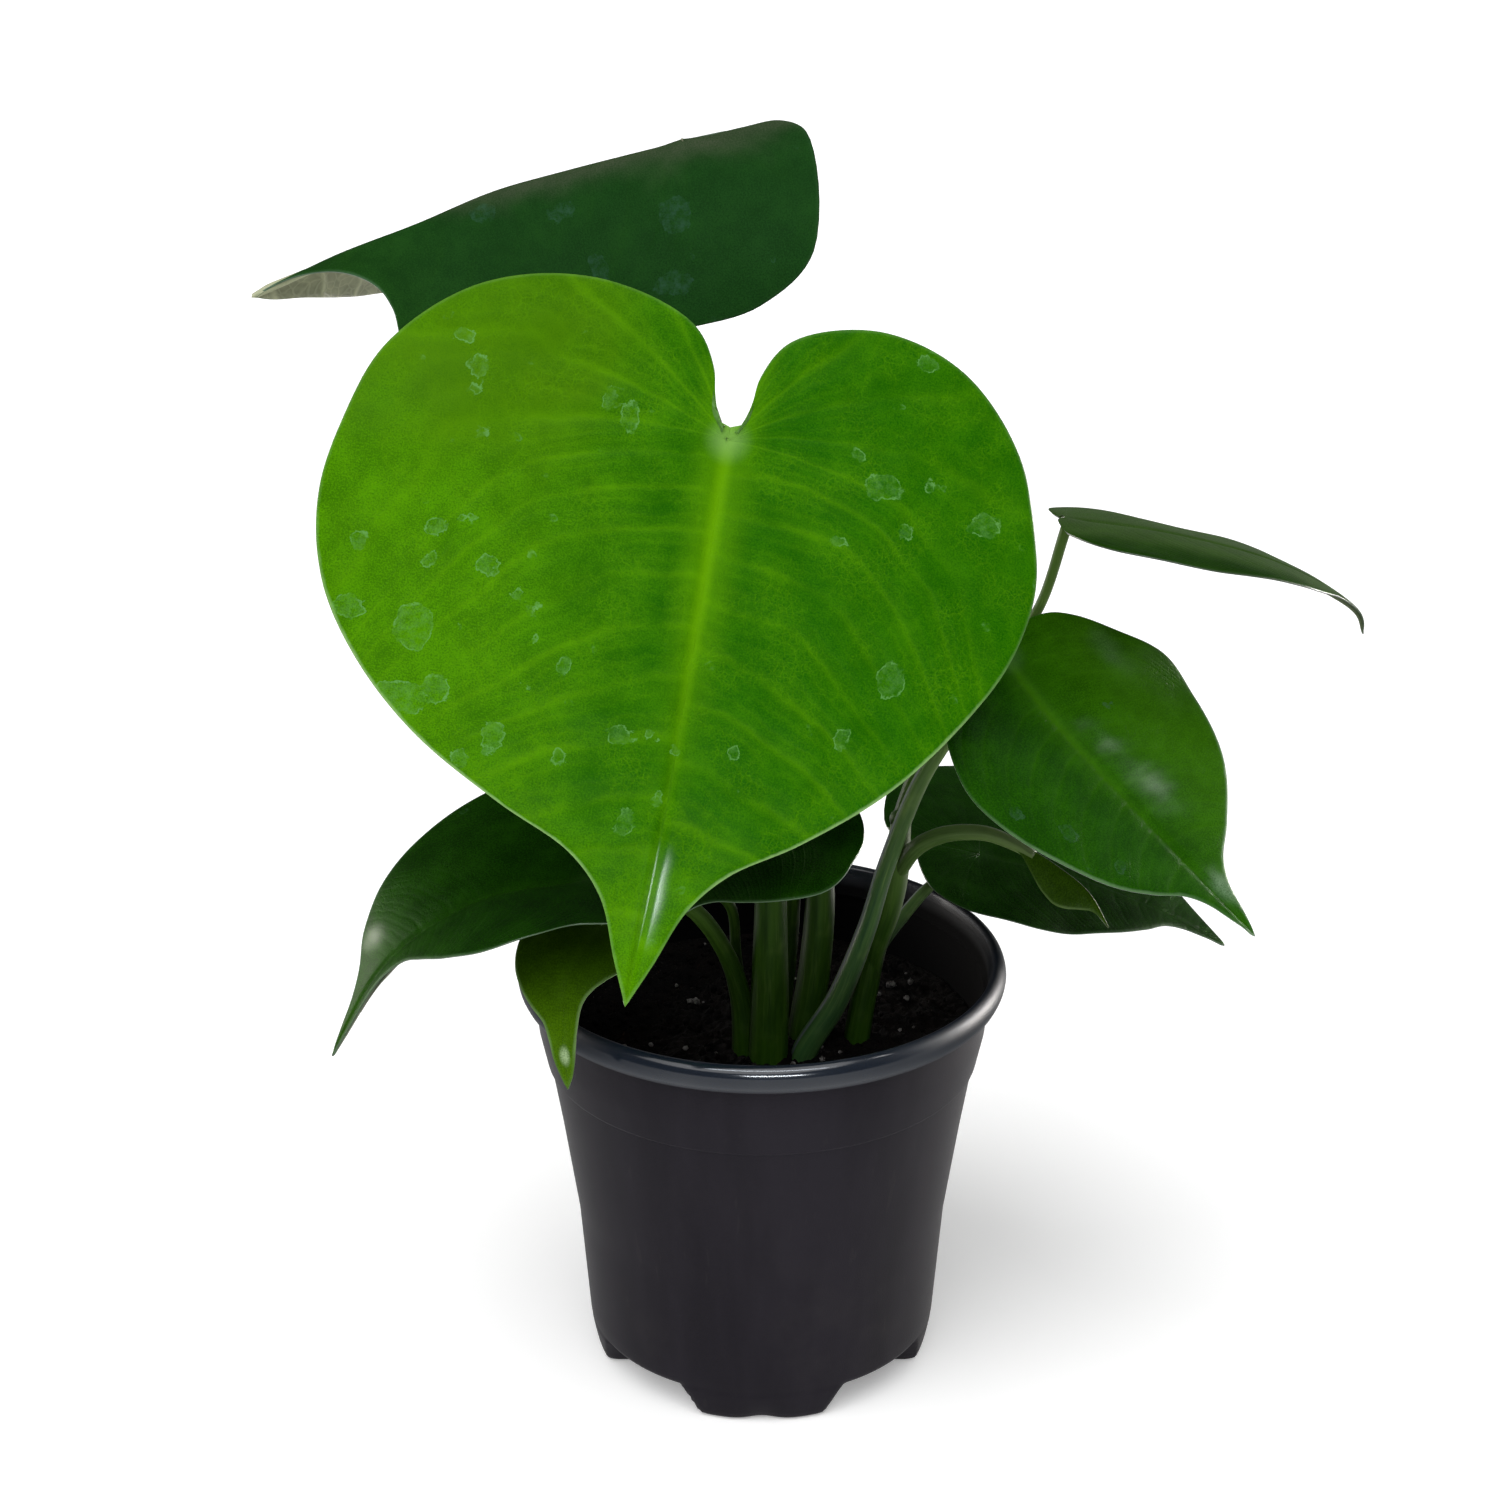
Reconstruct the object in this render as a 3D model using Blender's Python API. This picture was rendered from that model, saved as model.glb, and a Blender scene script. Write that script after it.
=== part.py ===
"""A young swiss cheese plant in a moulded nursery pot.

Sizes are in millimetres and become metres where a mesh is made. The origin is the centre of the pot's
base on the floor, +Z is up, and the large front leaf faces -Y.
"""

import math

import bmesh
import bpy
import numpy as np
from mathutils import Matrix, Vector

MM = 0.001

# The pot
POT_HEIGHT = 102.4
LIP_RADIUS = 57.0
LIP_HEIGHT = 6.2
POT_WALL = 1.3
FLOOR_LIFT = 7.7
BASE_RADIUS = 41.9
POT_SEGMENTS = 48
FOOT_SEGMENTS = 64
FOOT_REACH = 40.2
CHANNEL_REACH = 20.0
FOOT_NOTCH = 1.8
FOOT_HOLLOW_BREADTH = (0.45, 0.75)
DRAIN_RADIUS = 4.0
DRAIN_REACH = 33.0

# The feet from the floor up: height, growth of their plan, and breadth of each foot
FOOT_LEVELS = [(0, -1.2, 0.65), (0.5, -0.4, 0.67), (2.0, 0, 0.72), (FLOOR_LIFT + POT_WALL / 2, 1.4, 1.0)]

# The pot's outer side from the base up: height, radius. The flared band starts with a small step.
POT_SIDE = [
    (9.7, 41.7),
    (38.0, 43.9),
    (62.0, 47.4),
    (77.3, 49.9),
    (78.0, 50.7),
    (86.0, 52.4),
    (96.2, 53.4),
]

# The lip's section from its underside, over its top, to its inner edge: how far in from the lip's radius,
# and how far down from the rim
LIP_SECTION = [(0.9, 6.2), (0.2, 4.6), (0.0, 3.0), (0.5, 1.3), (1.3, 0.4), (2.2, 0.0), (3.1, 0.5), (3.9, 2.4)]

# The soil
SOIL_DEPTH = 19.0
SOIL_MOUND = 2.5
CLEARANCE = 0.3
HOLE_CLEARANCE = 0.6
SEAT_CLEARANCE = 0.45
PERLITE_COUNT = 30
PERLITE_RADIUS = 1.4
PERLITE_REACH = 0.93
PERLITE_APART = 4.0
STALK_APART = 7.0
SEED = 11

# The blades
BLADE_THICKNESS = 0.7
TWIST_POWER = 6
VEIN_SLANT = 0.55
STALK_SIDES = 2
STALK_SINK = 15.0

# One half of a heart-shaped blade, from the notch at the stalk to the tip. The first number is along the
# midrib, in blade lengths, or in lobe depths where it is negative. The second is across, in half widths.
MARGIN = [
    (-0.10, 0.0),
    (-0.16, 0.045),
    (-0.50, 0.065),
    (-0.80, 0.14),
    (-1.00, 0.40),
    (-0.82, 0.68),
    (-0.30, 0.89),
    (0.08, 0.975),
    (0.20, 1.0),
    (0.33, 0.955),
    (0.46, 0.83),
    (0.58, 0.65),
    (0.68, 0.42),
    (0.75, 0.22),
    (0.82, 0.12),
    (0.92, 0.055),
    (1.0, 0.0),
]

# Each blade: its midrib from stalk to tip, its half widths left and right of the midrib, the depth of its
# two lobes, its roll about the midrib and the further twist of its tip, how far each half is lifted from
# flat and curls on towards the edge (degrees, left and right), its wave, how finely it is divided, and how
# much further its right half's outline runs forward than its left's.
LEAVES = {
    "leaf_front": dict(
        spine=[(-7.4, -25, 234.5), (-14, -44, 199), (-21, -62, 162), (-28.8, -75, 127)],
        half=(70, 82),
        lobe=29,
        skew=0.035,
        roll=24,
        twist=0,
        lift=(2, 2),
        curl=(-8, -8),
        wave=1.0,
        grid=(2, 3),
    ),
    "leaf_back": dict(
        spine=[(-17.5, 36, 284.5), (-45, 36, 277.5), (-75, 31, 265.5), (-113, 20, 254)],
        half=(48, 50),
        lobe=26,
        skew=-0.1,
        roll=0,
        twist=-110,
        lift=(-30, -30),
        curl=(-42, -10),
        wave=1.0,
        grid=(2, 3),
    ),
    "leaf_upper_right": dict(
        spine=[(66.5, 2, 208.5), (92, 2, 204.5), (117, 2, 197), (135.4, 2, 183)],
        half=(29, 29),
        lobe=2,
        roll=12,
        twist=0,
        lift=(0, 0),
        curl=(-7, -7),
        wave=0.4,
        grid=(1, 3),
    ),
    "leaf_mid_right": dict(
        spine=[(53, -14, 182), (63, -23, 171), (83, -38, 152.5), (105.8, -51, 132)],
        half=(34, 27),
        lobe=2,
        roll=-12,
        twist=0,
        lift=(4, 4),
        curl=(-10, -10),
        wave=0.8,
        grid=(2, 3),
    ),
    "leaf_low_right": dict(
        spine=[(52, 24, 117), (73, 24, 112), (94, 22, 104), (112, 20, 93.5)],
        half=(31, 23),
        lobe=13,
        roll=-9,
        twist=0,
        lift=(0, 0),
        curl=(-10, -10),
        wave=0.6,
        grid=(1, 3),
    ),
    "leaf_young": dict(
        spine=[(56.5, -15, 138.3), (65, -18, 134), (73, -22, 128.5), (77.5, -25, 121.3)],
        half=(8, 8),
        lobe=2,
        roll=0,
        twist=0,
        lift=(-50, -50),
        curl=(-10, -10),
        wave=0.2,
        grid=(1, 2),
    ),
    "leaf_left": dict(
        spine=[(-38, -27, 134), (-62, -31, 131), (-82, -36, 119), (-96, -40, 97)],
        half=(28, 34),
        lobe=12,
        roll=8,
        twist=0,
        lift=(18, 10),
        curl=(-10, -10),
        wave=0.6,
        grid=(2, 3),
    ),
    "leaf_rim": dict(
        spine=[(-36, -34, 126), (-42, -44, 120), (-43.5, -50, 109), (-42.7, -52, 95)],
        half=(12, 12),
        lobe=4,
        roll=0,
        twist=0,
        lift=(0, 0),
        curl=(0, 0),
        wave=0.2,
        grid=(1, 2),
    ),
    "leaf_centre": dict(
        spine=[(3, -28, 151), (-4, -34, 145.5), (-12, -41, 140), (-20, -48, 134)],
        half=(28, 22),
        lobe=10,
        roll=0,
        twist=0,
        lift=(0, 0),
        curl=(-5, -5),
        wave=0.4,
        grid=(1, 3),
    ),
}

# Each stalk: the blade that it carries, its route up from the soil, and its radius at the soil, half way
# and at the blade. The last stretch, to the blade's underside, is worked out.
STALKS = {
    "petiole_front": dict(
        leaf="leaf_front",
        route=[(1, -15, 84), (1, -16, 104), (1.5, -15, 130), (-1, -6, 170), (-4, -4, 205), (-6, -12, 222)],
        radius=(4.0, 2.4, 1.9),
    ),
    "petiole_back": dict(
        leaf="leaf_back",
        route=[(9.5, -8, 84), (12, -8, 103), (13, -6, 124), (8, 3, 165), (-7, 16, 212), (-19, 25, 254)],
        radius=(3.2, 2.2, 1.8),
    ),
    "petiole_left": dict(
        leaf="leaf_left",
        route=[(-6, -12.5, 84), (-6.5, -13.5, 98), (-9.5, -16, 111), (-16.5, -20, 124), (-28, -24, 130.5)],
        radius=(2.4, 2.0, 1.5),
    ),
    "petiole_rim": dict(
        leaf="leaf_rim",
        route=[(-4, -7, 84), (-6, -9, 106), (-8, -11, 121), (-17, -14, 126.5), (-27, -23, 124)],
        radius=(1.5, 1.3, 1.1),
    ),
    "petiole_centre": dict(
        leaf="leaf_centre",
        route=[(4, -1.5, 84), (6, -2, 102), (7, -4, 118), (6, -13, 138)],
        radius=(2.4, 1.8, 1.4),
    ),
    "petiole_mid_right": dict(
        leaf="leaf_mid_right",
        route=[(9.4, -17.5, 85), (17, -17, 99), (23.5, -15.5, 116), (28, -13, 131), (36, -9, 151), (45, -7, 165)],
        radius=(2.9, 2.1, 1.6),
    ),
    "stem_right": dict(
        leaf="leaf_upper_right",
        route=[(22, -8, 84), (25.5, -7, 106), (29, -6, 122), (31.5, -4, 140), (38, 0, 155), (52, 3, 173), (61.5, 2, 187)],
        radius=(3.0, 1.7, 1.2),
    ),
    "petiole_low_right": dict(
        leaf="leaf_low_right",
        route=[(24, 2, 84), (27, 3, 101), (34, 9, 109), (41, 15, 114)],
        radius=(1.9, 1.6, 1.2),
    ),
}

# The sheath round the right-hand stem, and the young leaf's stalk that grows out of it
SHEATH_ROUTE = [(26, -7, 108), (28.5, -6.5, 117), (30.2, -6.5, 127), (30.7, -5.5, 136)]
SHEATH_RADII = (2.2, 3.3, 3.2, 1.4)
YOUNG_ROUTE = [(30.5, -7, 126), (35, -10.5, 134.5), (40, -12, 138), (45.5, -13, 138.8), (51, -14, 137)]
YOUNG_RADII = (1.6, 1.5, 1.3, 1.1, 0.9)

COLOURS = {
    "pot": ((0.020, 0.021, 0.026), 0.45),
    "soil": ((0.018, 0.012, 0.010), 0.95),
    "leaf_front": ((0.13, 0.34, 0.012), 0.35),
    "leaf_rim": ((0.13, 0.24, 0.02), 0.4),
    "leaf_young": ((0.13, 0.22, 0.05), 0.4),
    "dark blade": ((0.018, 0.085, 0.014), 0.35),
    "stalk": ((0.12, 0.24, 0.05), 0.45),
}


def make_material(name, colour, roughness):
    material = bpy.data.materials.new(name)
    material.use_nodes = True
    shader = material.node_tree.nodes["Principled BSDF"]
    shader.inputs["Base Color"].default_value = (*colour, 1.0)
    shader.inputs["Roughness"].default_value = roughness
    shader.inputs["Metallic"].default_value = 0.0
    return material


def add_object(name, data, look=None):
    found = bpy.data.objects.new(name, data)
    bpy.context.scene.collection.objects.link(found)
    if look:
        data.materials.append(make_material(name, *COLOURS[look]))
    return found


def add_mesh(name, bm, look=None):
    mesh = bpy.data.meshes.new(name)
    bm.to_mesh(mesh)
    bm.free()
    if look:
        mesh.shade_smooth()
    return add_object(name, mesh, look)


def make_cutter(found):
    found.hide_render = True
    found.display_type = "WIRE"
    return found


def add_boolean(target, other, operation):
    modifier = target.modifiers.new(other.name, "BOOLEAN")
    modifier.object = make_cutter(other)
    modifier.operation = operation
    modifier.solver = "EXACT"


def knot_samples(points, steps):
    """A smooth curve through the points, with the same number of steps between each two of them."""
    points = np.array(points, float)
    knots = np.concatenate([[0], np.cumsum(np.linalg.norm(np.diff(points, axis=0), axis=1) ** 0.5)])
    slopes = np.gradient(points, knots, axis=0)
    places = []
    for i, span in enumerate(np.diff(knots)):
        t = np.arange(steps)[:, None] / steps
        places.append(
            (2 * t**3 - 3 * t**2 + 1) * points[i]
            + (t**3 - 2 * t**2 + t) * span * slopes[i]
            + (3 * t**2 - 2 * t**3) * points[i + 1]
            + (t**3 - t**2) * span * slopes[i + 1]
        )
    return np.concatenate([*places, points[-1:]])


def smooth_route(points, samples):
    """The same curve, as evenly spaced samples."""
    dense = knot_samples(points, 40)
    lengths = np.concatenate([[0], np.cumsum(np.linalg.norm(np.diff(dense, axis=0), axis=1))])
    even = np.linspace(0, lengths[-1], samples)
    return np.stack([np.interp(even, lengths, axis) for axis in dense.T], axis=1)


class Blade:
    """The middle surface of a blade, bent from its flat outline."""

    def __init__(self, spine, half, lobe, roll, twist, lift, curl, wave, grid, skew=0):
        self.points = smooth_route(spine, 60)
        self.length = np.linalg.norm(np.diff(self.points, axis=0), axis=1).sum()
        self.half = half
        self.lobe = lobe
        self.lift = np.radians(lift)
        self.curl = np.radians(curl)
        self.wave = wave
        self.skew = skew
        self.rows, self.columns = grid
        self.set_frames(math.radians(roll), math.radians(twist))

    def set_frames(self, roll, twist):
        """The midrib's tangent, right-hand and upward directions, carried along it without twist."""
        tangents = np.gradient(self.points, axis=0)
        tangents /= np.linalg.norm(tangents, axis=1)[:, None]
        across = np.cross(tangents[0], (0, 0, 1))
        across /= np.linalg.norm(across)
        above = np.cross(across, tangents[0])
        across = across * math.cos(roll) + above * math.sin(roll)
        acrosses = []
        for tangent in tangents:
            across = across - tangent * (across @ tangent)
            across /= np.linalg.norm(across)
            acrosses.append(across)
        across = np.array(acrosses)
        above = np.cross(across, tangents)
        turn = (twist * np.linspace(0, 1, len(tangents)) ** TWIST_POWER)[:, None]
        self.tangents = tangents
        self.across = across * np.cos(turn) + above * np.sin(turn)
        self.above = np.cross(self.across, tangents)

    def at(self, values, along):
        even = np.linspace(0, self.length, len(values))
        return np.array([np.interp(max(along, 0), even, axis) for axis in values.T])

    def point(self, along, across):
        """The place in space of a point of the flat outline."""
        side = 0 if across < 0 else 1
        reach = abs(across)
        half = self.half[side]
        bend = self.curl[side] / half
        start = self.lift[side]
        if abs(bend) < 1e-6:
            sideways = reach * math.cos(start)
            upward = reach * math.sin(start)
        else:
            sideways = (math.sin(start + bend * reach) - math.sin(start)) / bend
            upward = (math.cos(start) - math.cos(start + bend * reach)) / bend
        upward += self.wave * math.sin(4 * math.pi * along / self.length) * (reach / half) ** 2
        place = self.at(self.points, along)
        if along < 0:
            place = place + self.tangents[0] * along
        direction = 1 if side else -1
        return place + self.at(self.across, along) * sideways * direction + self.at(self.above, along) * upward

    def margin(self, side):
        """Points of one half's flat outline, with the midrib points from which lines run out to them."""
        mean = sum(self.half) / 2
        outline = [(a * (self.lobe if a < 0 else self.length), b * mean, 0) for a, b in MARGIN]
        for along, across, _ in knot_samples(outline, self.rows):
            root = min(max(self.lobe, along - VEIN_SLANT * across), self.length)
            share = min(max(along / self.length, 0), 1)
            shift = self.skew * self.length * math.sin(math.pi * share) * (1 if side else -1)
            yield root, along + shift * (across / mean), across * self.half[side] / mean

    def surface(self):
        """The blade as one sheet of triangles, split alike on both of its faces."""
        bm = bmesh.new()
        known = {}

        def vertex(along, across):
            key = (round(along, 4), round(across, 4))
            if key not in known:
                known[key] = bm.verts.new(Vector(self.point(along, across)) * MM)
            return known[key]

        for side in (0, 1):
            direction = 1 if side else -1
            lines = []
            for root, along, across in self.margin(side):
                steps = [i / self.columns for i in range(self.columns + 1)]
                lines.append([vertex(root + (along - root) * v, direction * across * v) for v in steps])
            for one, two in zip(lines, lines[1:]):
                for i in range(self.columns):
                    self.fill(bm, (one[i], one[i + 1], two[i + 1], two[i]), side)
        return bm

    def fill(self, bm, corners, side):
        for triangle in (corners[:3], (corners[0], corners[2], corners[3])):
            if len(set(triangle)) == 3:
                bm.faces.new(triangle if side else triangle[::-1])


def make_blade(name, values):
    blade = Blade(**values)
    look = name if name in COLOURS else "dark blade"
    found = add_mesh(name, blade.surface(), look)
    solid = found.modifiers.new("Thickness", "SOLIDIFY")
    solid.thickness = BLADE_THICKNESS * MM
    solid.offset = 0.0
    return blade


def seat_under(blade, radius, last):
    """Where a round stalk end that comes from the last point rests under the start of the midrib."""
    droop = max(0.0, -min(blade.lift))
    target = blade.points[0] + blade.tangents[0] * radius
    way = (target - last) / np.linalg.norm(target - last)
    lean = 0.0
    for side, angle in zip((-1, 1), blade.lift):
        normal = blade.above[0] * math.cos(angle) - blade.across[0] * math.sin(angle) * side
        lean = max(lean, math.sqrt(max(0.0, 1 - (way @ normal) ** 2)))
    drop = (BLADE_THICKNESS / 2 + radius * lean + SEAT_CLEARANCE) / math.cos(droop)
    return target - blade.above[0] * drop


def make_stalk(name, route, radii, samples=18, look="stalk"):
    """A tapered round stalk along the route, with closed ends."""
    curve = bpy.data.curves.new(f"{name} curve", "CURVE")
    curve.dimensions = "3D"
    curve.bevel_depth = MM
    curve.bevel_resolution = STALK_SIDES
    curve.use_fill_caps = True
    spline = curve.splines.new("POLY")
    places = smooth_route(route, samples)
    spline.points.add(samples - 1)
    for i, place in enumerate(places):
        spline.points[i].co = (*(place * MM), 1.0)
        spline.points[i].radius = float(np.interp(i / (samples - 1), np.linspace(0, 1, len(radii)), radii))
    guide = add_object(f"{name} curve", curve)
    mesh = bpy.data.meshes.new_from_object(guide.evaluated_get(bpy.context.evaluated_depsgraph_get()))
    bpy.data.objects.remove(guide)
    mesh.name = name
    mesh.shade_smooth()
    return add_object(name, mesh, look)


def make_stalks(blades):
    stalks = {}
    for name, values in STALKS.items():
        foot, middle, end = values["radius"]
        route = values["route"]
        buried = (route[0][0], route[0][1], route[0][2] - STALK_SINK)
        seat = seat_under(blades[values["leaf"]], end, route[-1])
        stalks[name] = make_stalk(name, [buried, *route, tuple(seat)], (foot, middle, end))
    add_boolean(stalks["stem_right"], make_stalk("sheath", SHEATH_ROUTE, SHEATH_RADII, 8, None), "UNION")
    seat = seat_under(blades["leaf_young"], YOUNG_RADII[-1], YOUNG_ROUTE[-1])
    young = make_stalk("young stalk", [*YOUNG_ROUTE, tuple(seat)], YOUNG_RADII, 12, None)
    add_boolean(stalks["stem_right"], young, "UNION")


def spin_profile(name, profile, segments, look=None):
    """A solid turned about the Z axis from an (out, up) profile, bottom to top on its outer side."""
    bm = bmesh.new()
    points = [bm.verts.new((out * MM, 0, up * MM)) for out, up in profile]
    lines = [bm.edges.new(pair) for pair in zip(points, points[1:])]
    bmesh.ops.spin(
        bm, geom=points + lines, cent=(0, 0, 0), axis=(0, 0, 1), angle=math.tau, steps=segments, use_merge=True
    )
    bmesh.ops.remove_doubles(bm, verts=bm.verts, dist=0.00001)
    bmesh.ops.recalc_face_normals(bm, faces=bm.faces)
    return add_mesh(name, bm, look)


def wall_radius(height):
    """The pot's outer radius at a height, from the base to the underside of the lip."""
    heights, radii = zip(*POT_SIDE)
    return float(np.interp(height, heights, radii))


def pot_profile():
    """The pot's section: up its outer side, over the lip and down its inner side."""
    lip_bottom = POT_HEIGHT - LIP_HEIGHT
    outside = [(0, FLOOR_LIFT), (BASE_RADIUS - 2.5, FLOOR_LIFT), (BASE_RADIUS - 0.8, FLOOR_LIFT + 0.7)]
    outside += [(radius, height) for height, radius in POT_SIDE]
    lip = [(LIP_RADIUS - drawn_in, POT_HEIGHT - down) for drawn_in, down in LIP_SECTION]
    inside = [
        (radius - POT_WALL, height)
        for height, radius in reversed(POT_SIDE)
        if FLOOR_LIFT + 2 * POT_WALL < height <= lip_bottom
    ]
    floor = FLOOR_LIFT + POT_WALL
    inside += [(BASE_RADIUS - 2.5, floor), (0, floor)]
    return outside + lip + inside


def foot_radius(angle, breadth):
    """The base's plan: four feet joined at the centre, each with a shallow notch in its front."""
    quarter = (angle + math.pi / 4) % (math.pi / 2) - math.pi / 4
    step = min(max(math.cos(4 * angle) + breadth, 0.0), 1.0)
    foot = step * step * (3 - 2 * step)
    notch = FOOT_NOTCH * math.exp(-((quarter / math.radians(6)) ** 2))
    return CHANNEL_REACH + (FOOT_REACH - notch - CHANNEL_REACH) * foot


def foot_block(name, levels):
    """A solid over the base's plan, with a ring for each (height, growth of the plan, breadth of the feet)."""
    bm = bmesh.new()
    rings = []
    for height, growth, breadth in levels:
        ring = []
        for i in range(FOOT_SEGMENTS):
            angle = math.tau * i / FOOT_SEGMENTS
            radius = foot_radius(angle, breadth) + growth
            ring.append(bm.verts.new(Vector((radius * math.cos(angle), radius * math.sin(angle), height)) * MM))
        rings.append(ring)
    for low, high in zip(rings, rings[1:]):
        for i in range(FOOT_SEGMENTS):
            j = (i + 1) % FOOT_SEGMENTS
            bm.faces.new((low[i], low[j], high[j]))
            bm.faces.new((low[i], high[j], high[i]))
    bm.faces.new(rings[0][::-1])
    bm.faces.new(rings[-1])
    return add_mesh(name, bm)


def recess_levels(clearance):
    """The hollow inside of the feet, or with a clearance the narrower soil in it."""
    side = POT_WALL + clearance
    low, high = (breadth - clearance / 2 for breadth in FOOT_HOLLOW_BREADTH)
    return [(side, -side - POT_WALL, low), (FLOOR_LIFT + 2 * POT_WALL, -side, high)]


def make_pot():
    pot = spin_profile("pot", pot_profile(), POT_SEGMENTS, "pot")
    add_boolean(pot, foot_block("feet", FOOT_LEVELS), "UNION")
    add_boolean(pot, foot_block("feet inside", recess_levels(0)), "DIFFERENCE")
    for i in range(4):
        angle = math.tau * (i + 0.5) / 4
        bm = bmesh.new()
        bmesh.ops.create_cone(
            bm,
            cap_ends=True,
            segments=16,
            radius1=DRAIN_RADIUS * MM,
            radius2=DRAIN_RADIUS * MM,
            depth=4 * POT_WALL * MM,
        )
        drain = add_mesh(f"drain {i + 1}", bm)
        drain.location = Vector((DRAIN_REACH * math.cos(angle), DRAIN_REACH * math.sin(angle), FLOOR_LIFT)) * MM
        add_boolean(pot, drain, "DIFFERENCE")
    return pot


def soil_height(radius, edge):
    """The mounded surface of the soil."""
    return POT_HEIGHT - SOIL_DEPTH + SOIL_MOUND * (1 - (radius / edge) ** 2)


def make_soil():
    side = POT_WALL + CLEARANCE
    floor = FLOOR_LIFT + POT_WALL + CLEARANCE
    edge = wall_radius(POT_HEIGHT - SOIL_DEPTH) - side
    profile = [(0, floor), (BASE_RADIUS - 3, floor)]
    profile += [(radius - side, height) for height, radius in POT_SIDE if floor + 1 < height < POT_HEIGHT - SOIL_DEPTH]
    profile += [(edge * share, soil_height(edge * share, edge)) for share in (1.0, 0.8, 0.55, 0.3, 0.0)]
    soil = spin_profile("soil", profile, POT_SEGMENTS, "soil")
    add_boolean(soil, foot_block("soil feet", recess_levels(CLEARANCE)), "UNION")
    scatter_perlite(soil, edge)
    for name, values in STALKS.items():
        bore_hole(soil, name, values)
    return soil


def scatter_perlite(soil, edge):
    """White grains sunk half way into the soil's surface, clear of the stalks."""
    chance = np.random.default_rng(SEED)
    feet = np.array([values["route"][0][:2] for values in STALKS.values()])
    bm = bmesh.new()
    placed = []
    while len(placed) < PERLITE_COUNT:
        angle = chance.uniform(0, math.tau)
        reach = edge * PERLITE_REACH * math.sqrt(chance.uniform(0, 1))
        place = np.array([reach * math.cos(angle), reach * math.sin(angle)])
        size = PERLITE_RADIUS * chance.uniform(0.7, 1.2)
        near_stalk = np.linalg.norm(feet - place, axis=1).min() < STALK_APART
        if near_stalk or any(np.linalg.norm(place - other) < PERLITE_APART for other in placed):
            continue
        placed.append(place)
        grain = bmesh.ops.create_icosphere(bm, subdivisions=1, radius=size * MM)["verts"]
        bmesh.ops.rotate(bm, verts=grain, matrix=turned(chance.uniform(0, math.tau)), cent=(0, 0, 0))
        lift = Vector((*place, soil_height(reach, edge) + 0.2 * size)) * MM
        bmesh.ops.translate(bm, verts=grain, vec=lift)
    add_boolean(soil, add_mesh("perlite", bm), "UNION")


def turned(angle):
    return Matrix.Rotation(angle, 3, (0.6, 0.0, 0.8))


def bore_hole(soil, name, values):
    """The plain hole that a stalk stands in."""
    radius = values["radius"][0] + HOLE_CLEARANCE
    x, y, z = values["route"][0]
    depth = STALK_SINK + CLEARANCE
    bm = bmesh.new()
    bmesh.ops.create_cone(
        bm, cap_ends=True, segments=12, radius1=radius * MM, radius2=radius * MM, depth=2 * depth * MM
    )
    hole = add_mesh(f"hole of {name}", bm)
    hole.location = Vector((x, y, z)) * MM
    add_boolean(soil, hole, "DIFFERENCE")


def clear_scene():
    for found in list(bpy.data.objects):
        bpy.data.objects.remove(found)


def main():
    clear_scene()
    make_pot()
    make_soil()
    blades = {name: make_blade(name, values) for name, values in LEAVES.items()}
    make_stalks(blades)


main()
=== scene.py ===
"""The looks of a young swiss cheese plant in a moulded nursery pot."""

import math

import bmesh
import bpy
import numpy as np
from mathutils import Matrix, Vector, noise


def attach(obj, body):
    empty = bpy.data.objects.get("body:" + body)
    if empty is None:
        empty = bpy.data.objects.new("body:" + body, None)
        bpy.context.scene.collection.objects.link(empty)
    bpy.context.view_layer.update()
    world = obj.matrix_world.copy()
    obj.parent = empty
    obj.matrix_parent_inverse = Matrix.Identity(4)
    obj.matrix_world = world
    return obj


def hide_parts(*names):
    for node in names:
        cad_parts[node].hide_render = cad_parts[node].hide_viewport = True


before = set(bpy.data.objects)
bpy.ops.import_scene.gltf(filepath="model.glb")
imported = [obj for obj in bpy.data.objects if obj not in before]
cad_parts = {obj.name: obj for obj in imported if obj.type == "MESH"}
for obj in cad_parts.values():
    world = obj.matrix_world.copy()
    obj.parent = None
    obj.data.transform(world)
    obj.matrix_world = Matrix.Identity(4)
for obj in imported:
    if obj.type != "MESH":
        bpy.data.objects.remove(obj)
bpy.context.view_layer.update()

MM = 0.001
# The maps that the blades and stalks carry are in centimetres
MAP_SCALE = 0.1

# The pot, in millimetres, as in the model that it dresses
POT_HEIGHT = 102.4
LIP_RADIUS = 57.0
POT_WALL = 1.3
FLOOR_LIFT = 7.7
FOOT_REACH = 40.2
FOOT_SPREAD = 0.14
FOOT_NOTCH = 1.8
CHANNEL_REACH = 20.0
DRAINS = 4
DRAIN_RADIUS = 4.0
DRAIN_REACH = 33.0
POT_COLUMNS = 224
POT_SIDE = [(9.7, 41.7), (38.0, 43.9), (62.0, 47.4), (77.3, 49.9), (78.0, 50.7), (86.0, 52.4), (96.2, 53.4)]
# The small step in the side, closer than the rest of it: radius and height
SIDE_STEP = [(49.86, 77.0), (49.9, 77.25), (50.05, 77.45), (50.55, 77.85), (50.7, 78.05), (50.76, 78.3)]
# The feet from the ground up: height, growth of their plan, and breadth of each foot
FOOT_LEVELS = [
    (0.0, -2.2, 0.60), (0.1, -1.6, 0.64), (0.35, -1.0, 0.68), (0.8, -0.5, 0.72), (1.5, -0.1, 0.765),
    (2.5, 0.2, 0.81), (4.0, 0.55, 0.89), (5.5, 0.85, 0.97), (6.8, 1.1, 1.05), (FLOOR_LIFT, 1.25, 1.1),
]
# How far in and how far down from the lip's outermost and topmost points
LIP_SECTION = [(0.9, 6.2), (0.2, 4.6), (0.0, 3.0), (0.5, 1.3), (1.3, 0.4), (2.2, 0.0), (3.1, 0.5), (3.9, 2.4)]
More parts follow.
